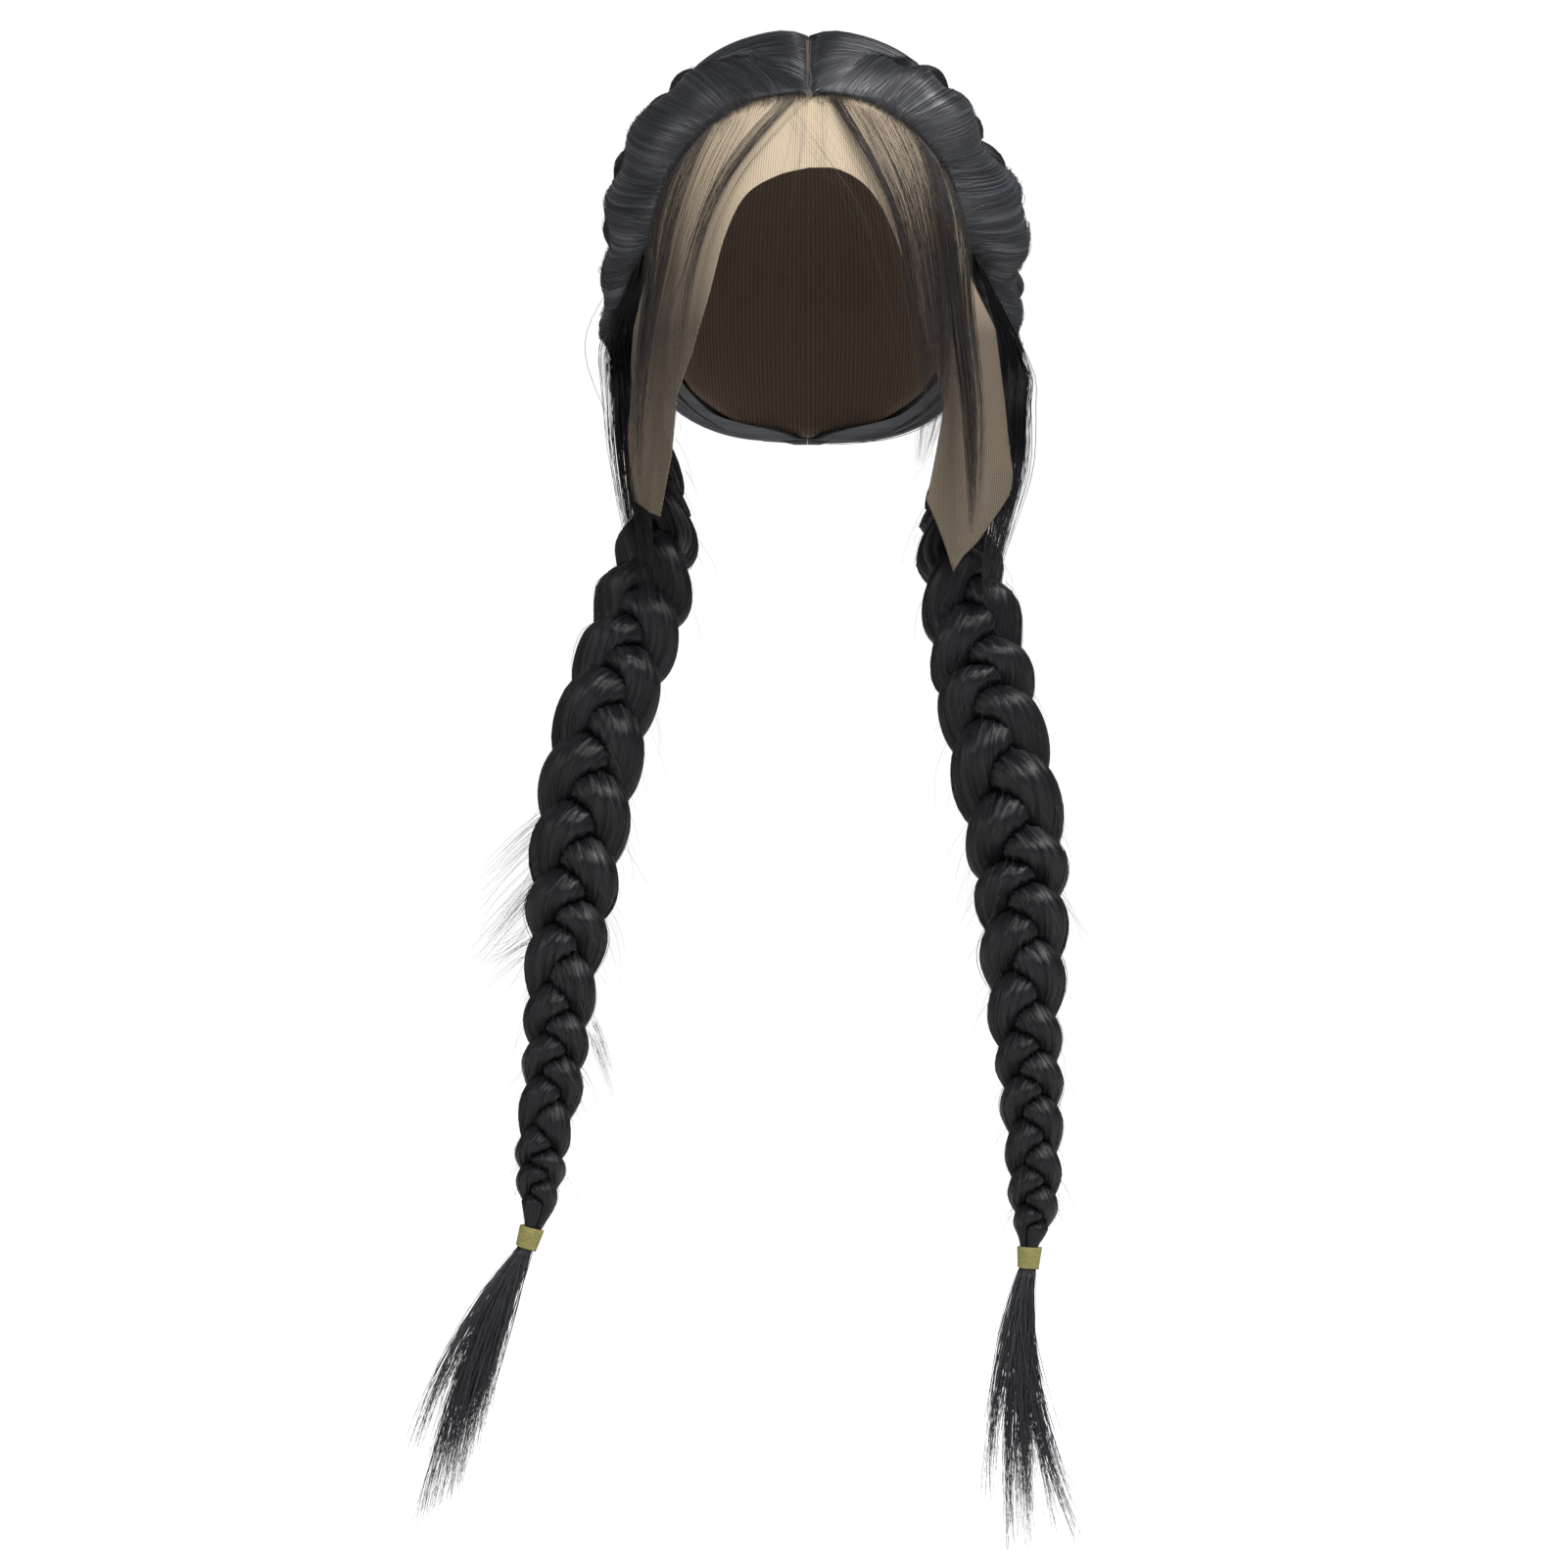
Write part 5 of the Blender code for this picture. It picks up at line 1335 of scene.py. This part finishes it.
class WIG_OT_front_locks(bpy.types.Operator):
    """Makes the loose locks over the forehead and cheeks"""

    bl_idname = "wig.front_locks"
    bl_label = "Front locks"

    def execute(self, context):
        look = context.scene.wig_hair
        for number, (name, rows) in enumerate(BANGS.items()):
            part = lock_hairs(rows, *BANG_HAIRS[name], 90 + number, look)
            # The thin hair's brown is painted backlight
            add_piece("wig_" + name, [part], wig_hair("thin"), (name,))
        return {"FINISHED"}


class WIG_OT_side_locks(bpy.types.Operator):
    """Makes the loose hair that hangs behind each lace tab"""

    bl_idname = "wig.side_locks"
    bl_label = "Side locks"

    def execute(self, context):
        look = context.scene.wig_hair
        for number, (name, rows) in enumerate(SIDE_LOCKS.items()):
            count, steps = 420, 18
            dice = np.random.default_rng(100 + number)
            sign = np.sign(rows[0, 0])
            share = dice.uniform(-0.5, 0.5, count)
            reach = 0.45 + 0.55 * dice.beta(1.8, 1.1, count)
            root = np.append(on_head(way(74.0 * sign, 6.0), np.array(0.003)), 0.014)
            table = np.vstack([root, rows])
            t = shares(steps)
            at = reach[:, None] * (len(table) - 1) * t
            line = curve_through(table, at)
            turned = ease(at / 1.6)
            paths = line[..., :3].copy()
            spread = dice.normal(0, 0.0030, (count, 1))
            paths[..., 1] += share[:, None] * 0.015 * (1 - turned) + spread * turned
            paths[..., 0] += share[:, None] * line[..., 3] * turned
            bow = dice.exponential(0.0022, (count, 1)) * np.sin(np.pi * t ** 0.8)
            paths[..., 0] += sign * bow
            paths[..., 1] -= 0.0006 + dice.uniform(0, 0.003, (count, 1)) * t
            radii = look.fine * dice.uniform(0.8, 1.8, (count, 1)) * (1 - 0.7 * ease((t - 0.5) / 0.5))
            strands = tubes(paths, radii, 110 + number)
            add_piece("wig_" + name, [strands], wig_hair("black"), (name,))
        return {"FINISHED"}


def bent_hairs(begin, control, tip, steps, radius, dice, seed):
    """Loose hairs on quadratic curves from begin by control to tip, each thinner towards its tip."""
    t = shares(steps)[..., None]
    paths = bows(begin, control, tip, t)
    taper = 1 - 0.7 * t[..., 0]
    return tubes(paths, radius * dice.uniform(0.5, 1.0, (len(begin), 1)) * taper, seed)


def braid_fuzz(side, look, braid):
    """Short hairs that stand off the hanging braid, more of them lower down."""
    count = 480
    dice = dice_for(side, 120)
    middle, width, _, _, sideways, out = hanging_frame(side, braid)
    k = (len(middle) * (0.10 + 0.85 * dice.beta(1.5, 1.0, count))).astype(int)
    angle = dice.uniform(0, 2 * np.pi, count)
    ray = np.cos(angle)[:, None] * sideways[k] + np.sin(angle)[:, None] * out[k]
    begin = middle[k] + ray * (width[k] * np.where(np.abs(np.cos(angle)) > 0.5, 0.46, 0.30))[:, None]
    size = dice.gamma(2.0, 0.0042, count)[:, None]
    fall = np.array([0.0, 0.0, -1.0])
    control = begin + ray * size * 0.35 + fall * size * 0.4
    tip = begin + ray * size * dice.uniform(0.2, 0.9, (count, 1)) + fall * size * 1.1
    return bent_hairs(begin, control, tip, 6, look.fine * 0.9, dice, 122)


def baby_hairs(side, look):
    """Fine hairs rooted in the lace below the hairline: most rise into the hair, some lie on the lace."""
    count, steps = 1100, 7
    dice = dice_for(side, 123)
    place = curve_through(HAIRLINE[side], dice.uniform(0.0, 8.3, count))
    t = shares(steps)
    rooted = dice.gamma(1.6, 0.75, (count, 1))
    down = dice.uniform(0, 1, (count, 1)) < 0.2
    climb = np.where(down, -dice.gamma(3.0, 1.0, (count, 1)), rooted + 3.0)
    azimuth = place[:, :1] + (dice.normal(0.5, 1.6, (count, 1)) + 1.5 * down) * t
    height = 0.0012 + np.where(down, 0.0010 * np.sin(np.pi * t), 0.0027 * t ** 0.9)
    paths = on_head(way(azimuth * SIDES[side], place[:, 1:] - rooted + climb * t), height)
    radii = look.fine * dice.uniform(0.5, 1.1, (count, 1)) * np.where(down, 0.8 - 0.5 * t, 0.5 + 0.5 * t)
    return tubes(paths, radii, 125)


def tuft_hairs(look):
    """Tufts that stick out of the left braid."""
    dice = np.random.default_rng(126)
    rows = np.repeat(TUFTS, TUFTS[:, 4].astype(int), axis=0)
    count = len(rows)
    spread = dice.normal(0, 1, (count, 2))
    begin = np.stack([rows[:, 0] + 0.0016 * spread[:, 0], np.full(count, TUFT_ROOT_Y),
                      rows[:, 1] + 0.004 * spread[:, 1]], -1)
    length = dice.uniform(0.45, 1.0, count)[:, None]
    goal = np.stack([rows[:, 2], TUFT_TIP_Y + 0.006 * spread[:, 0], rows[:, 3] + 0.005 * spread[:, 1]], -1)
    tip = begin + (goal - begin) * length
    control = 0.5 * (begin + tip) + np.array([0.0, 0.0, 0.003]) * dice.normal(0.3, 1, (count, 1))
    return bent_hairs(begin, control, tip, 8, look.fine, dice, 127)


def stray_hairs(look):
    """A few long hairs that hang from the part in front of the face."""
    count, steps = 9, 20
    dice = np.random.default_rng(128)
    t = shares(steps)
    end = -0.110 - 0.075 * dice.uniform(0, 1, (count, 1))
    height = PART_FOOT + (end - PART_FOOT) * t
    azimuth = dice.uniform(-5, 6, (count, 1)) + dice.normal(-7, 7, (count, 1)) * ease(t)
    paths = on_drape(azimuth, height, 0.0022 + 0.004 * ease(t) + 0 * azimuth)
    return tubes(paths, look.fine * 0.5 * (1 - 0.5 * t) * np.ones((count, 1)), 129)


class WIG_OT_flyaways(bpy.types.Operator):
    """Makes the fuzz along the braids, the baby hair at the hairline and a few long loose hairs"""

    bl_idname = "wig.flyaways"
    bl_label = "Loose hairs"

    def execute(self, context):
        look, braid = context.scene.wig_hair, context.scene.wig_braid
        parts = [tuft_hairs(look), stray_hairs(look)]
        for side in SIDES:
            parts += [braid_fuzz(side, look, braid), baby_hairs(side, look)]
        # The thin hair's brown is painted backlight
        add_piece("wig_loose_hairs", parts, wig_hair("thin"))
        return {"FINISHED"}


class WIG_PT_panel(bpy.types.Panel):
    """Lists the wig's pieces and sizes"""

    bl_idname = "WIG_PT_panel"
    bl_label = "Braid Wig"
    bl_space_type = "VIEW_3D"
    bl_region_type = "UI"
    bl_category = "Braid Wig"

    def draw(self, context):
        for kind in MAKERS:
            self.layout.operator(kind.bl_idname)
        for group in GROUPS:
            box = self.layout.box()
            box.label(text=group)
            for name in getattr(context.scene, group).bl_rna.properties.keys():
                if name not in ("rna_type", "name"):
                    box.prop(getattr(context.scene, group), name)


GROUPS = {
    "wig_hair": WigHair, "wig_braid": WigBraid, "wig_lace": WigLace, "wig_tie": WigTie, "wig_stage": WigStage,
}
MAKERS = (WIG_OT_stage, WIG_OT_cap, WIG_OT_lace, WIG_OT_crown, WIG_OT_braids, WIG_OT_ties, WIG_OT_tails,
          WIG_OT_front_locks, WIG_OT_side_locks, WIG_OT_flyaways)


def register():
    for kind in (*GROUPS.values(), *MAKERS, WIG_PT_panel):
        bpy.utils.register_class(kind)
    for name, kind in GROUPS.items():
        setattr(bpy.types.Scene, name, PointerProperty(type=kind))


def unregister():
    for name in GROUPS:
        delattr(bpy.types.Scene, name)
    for kind in reversed((*GROUPS.values(), *MAKERS, WIG_PT_panel)):
        bpy.utils.unregister_class(kind)


def main():
    """Makes every piece in order."""
    register()
    bpy.ops.wig.stage()
    bpy.ops.wig.cap()
    bpy.ops.wig.lace()
    bpy.ops.wig.crown()
    bpy.ops.wig.braids()
    bpy.ops.wig.ties()
    bpy.ops.wig.tails()
    bpy.ops.wig.front_locks()
    bpy.ops.wig.side_locks()
    bpy.ops.wig.flyaways()


if __name__ == "__main__":
    main()
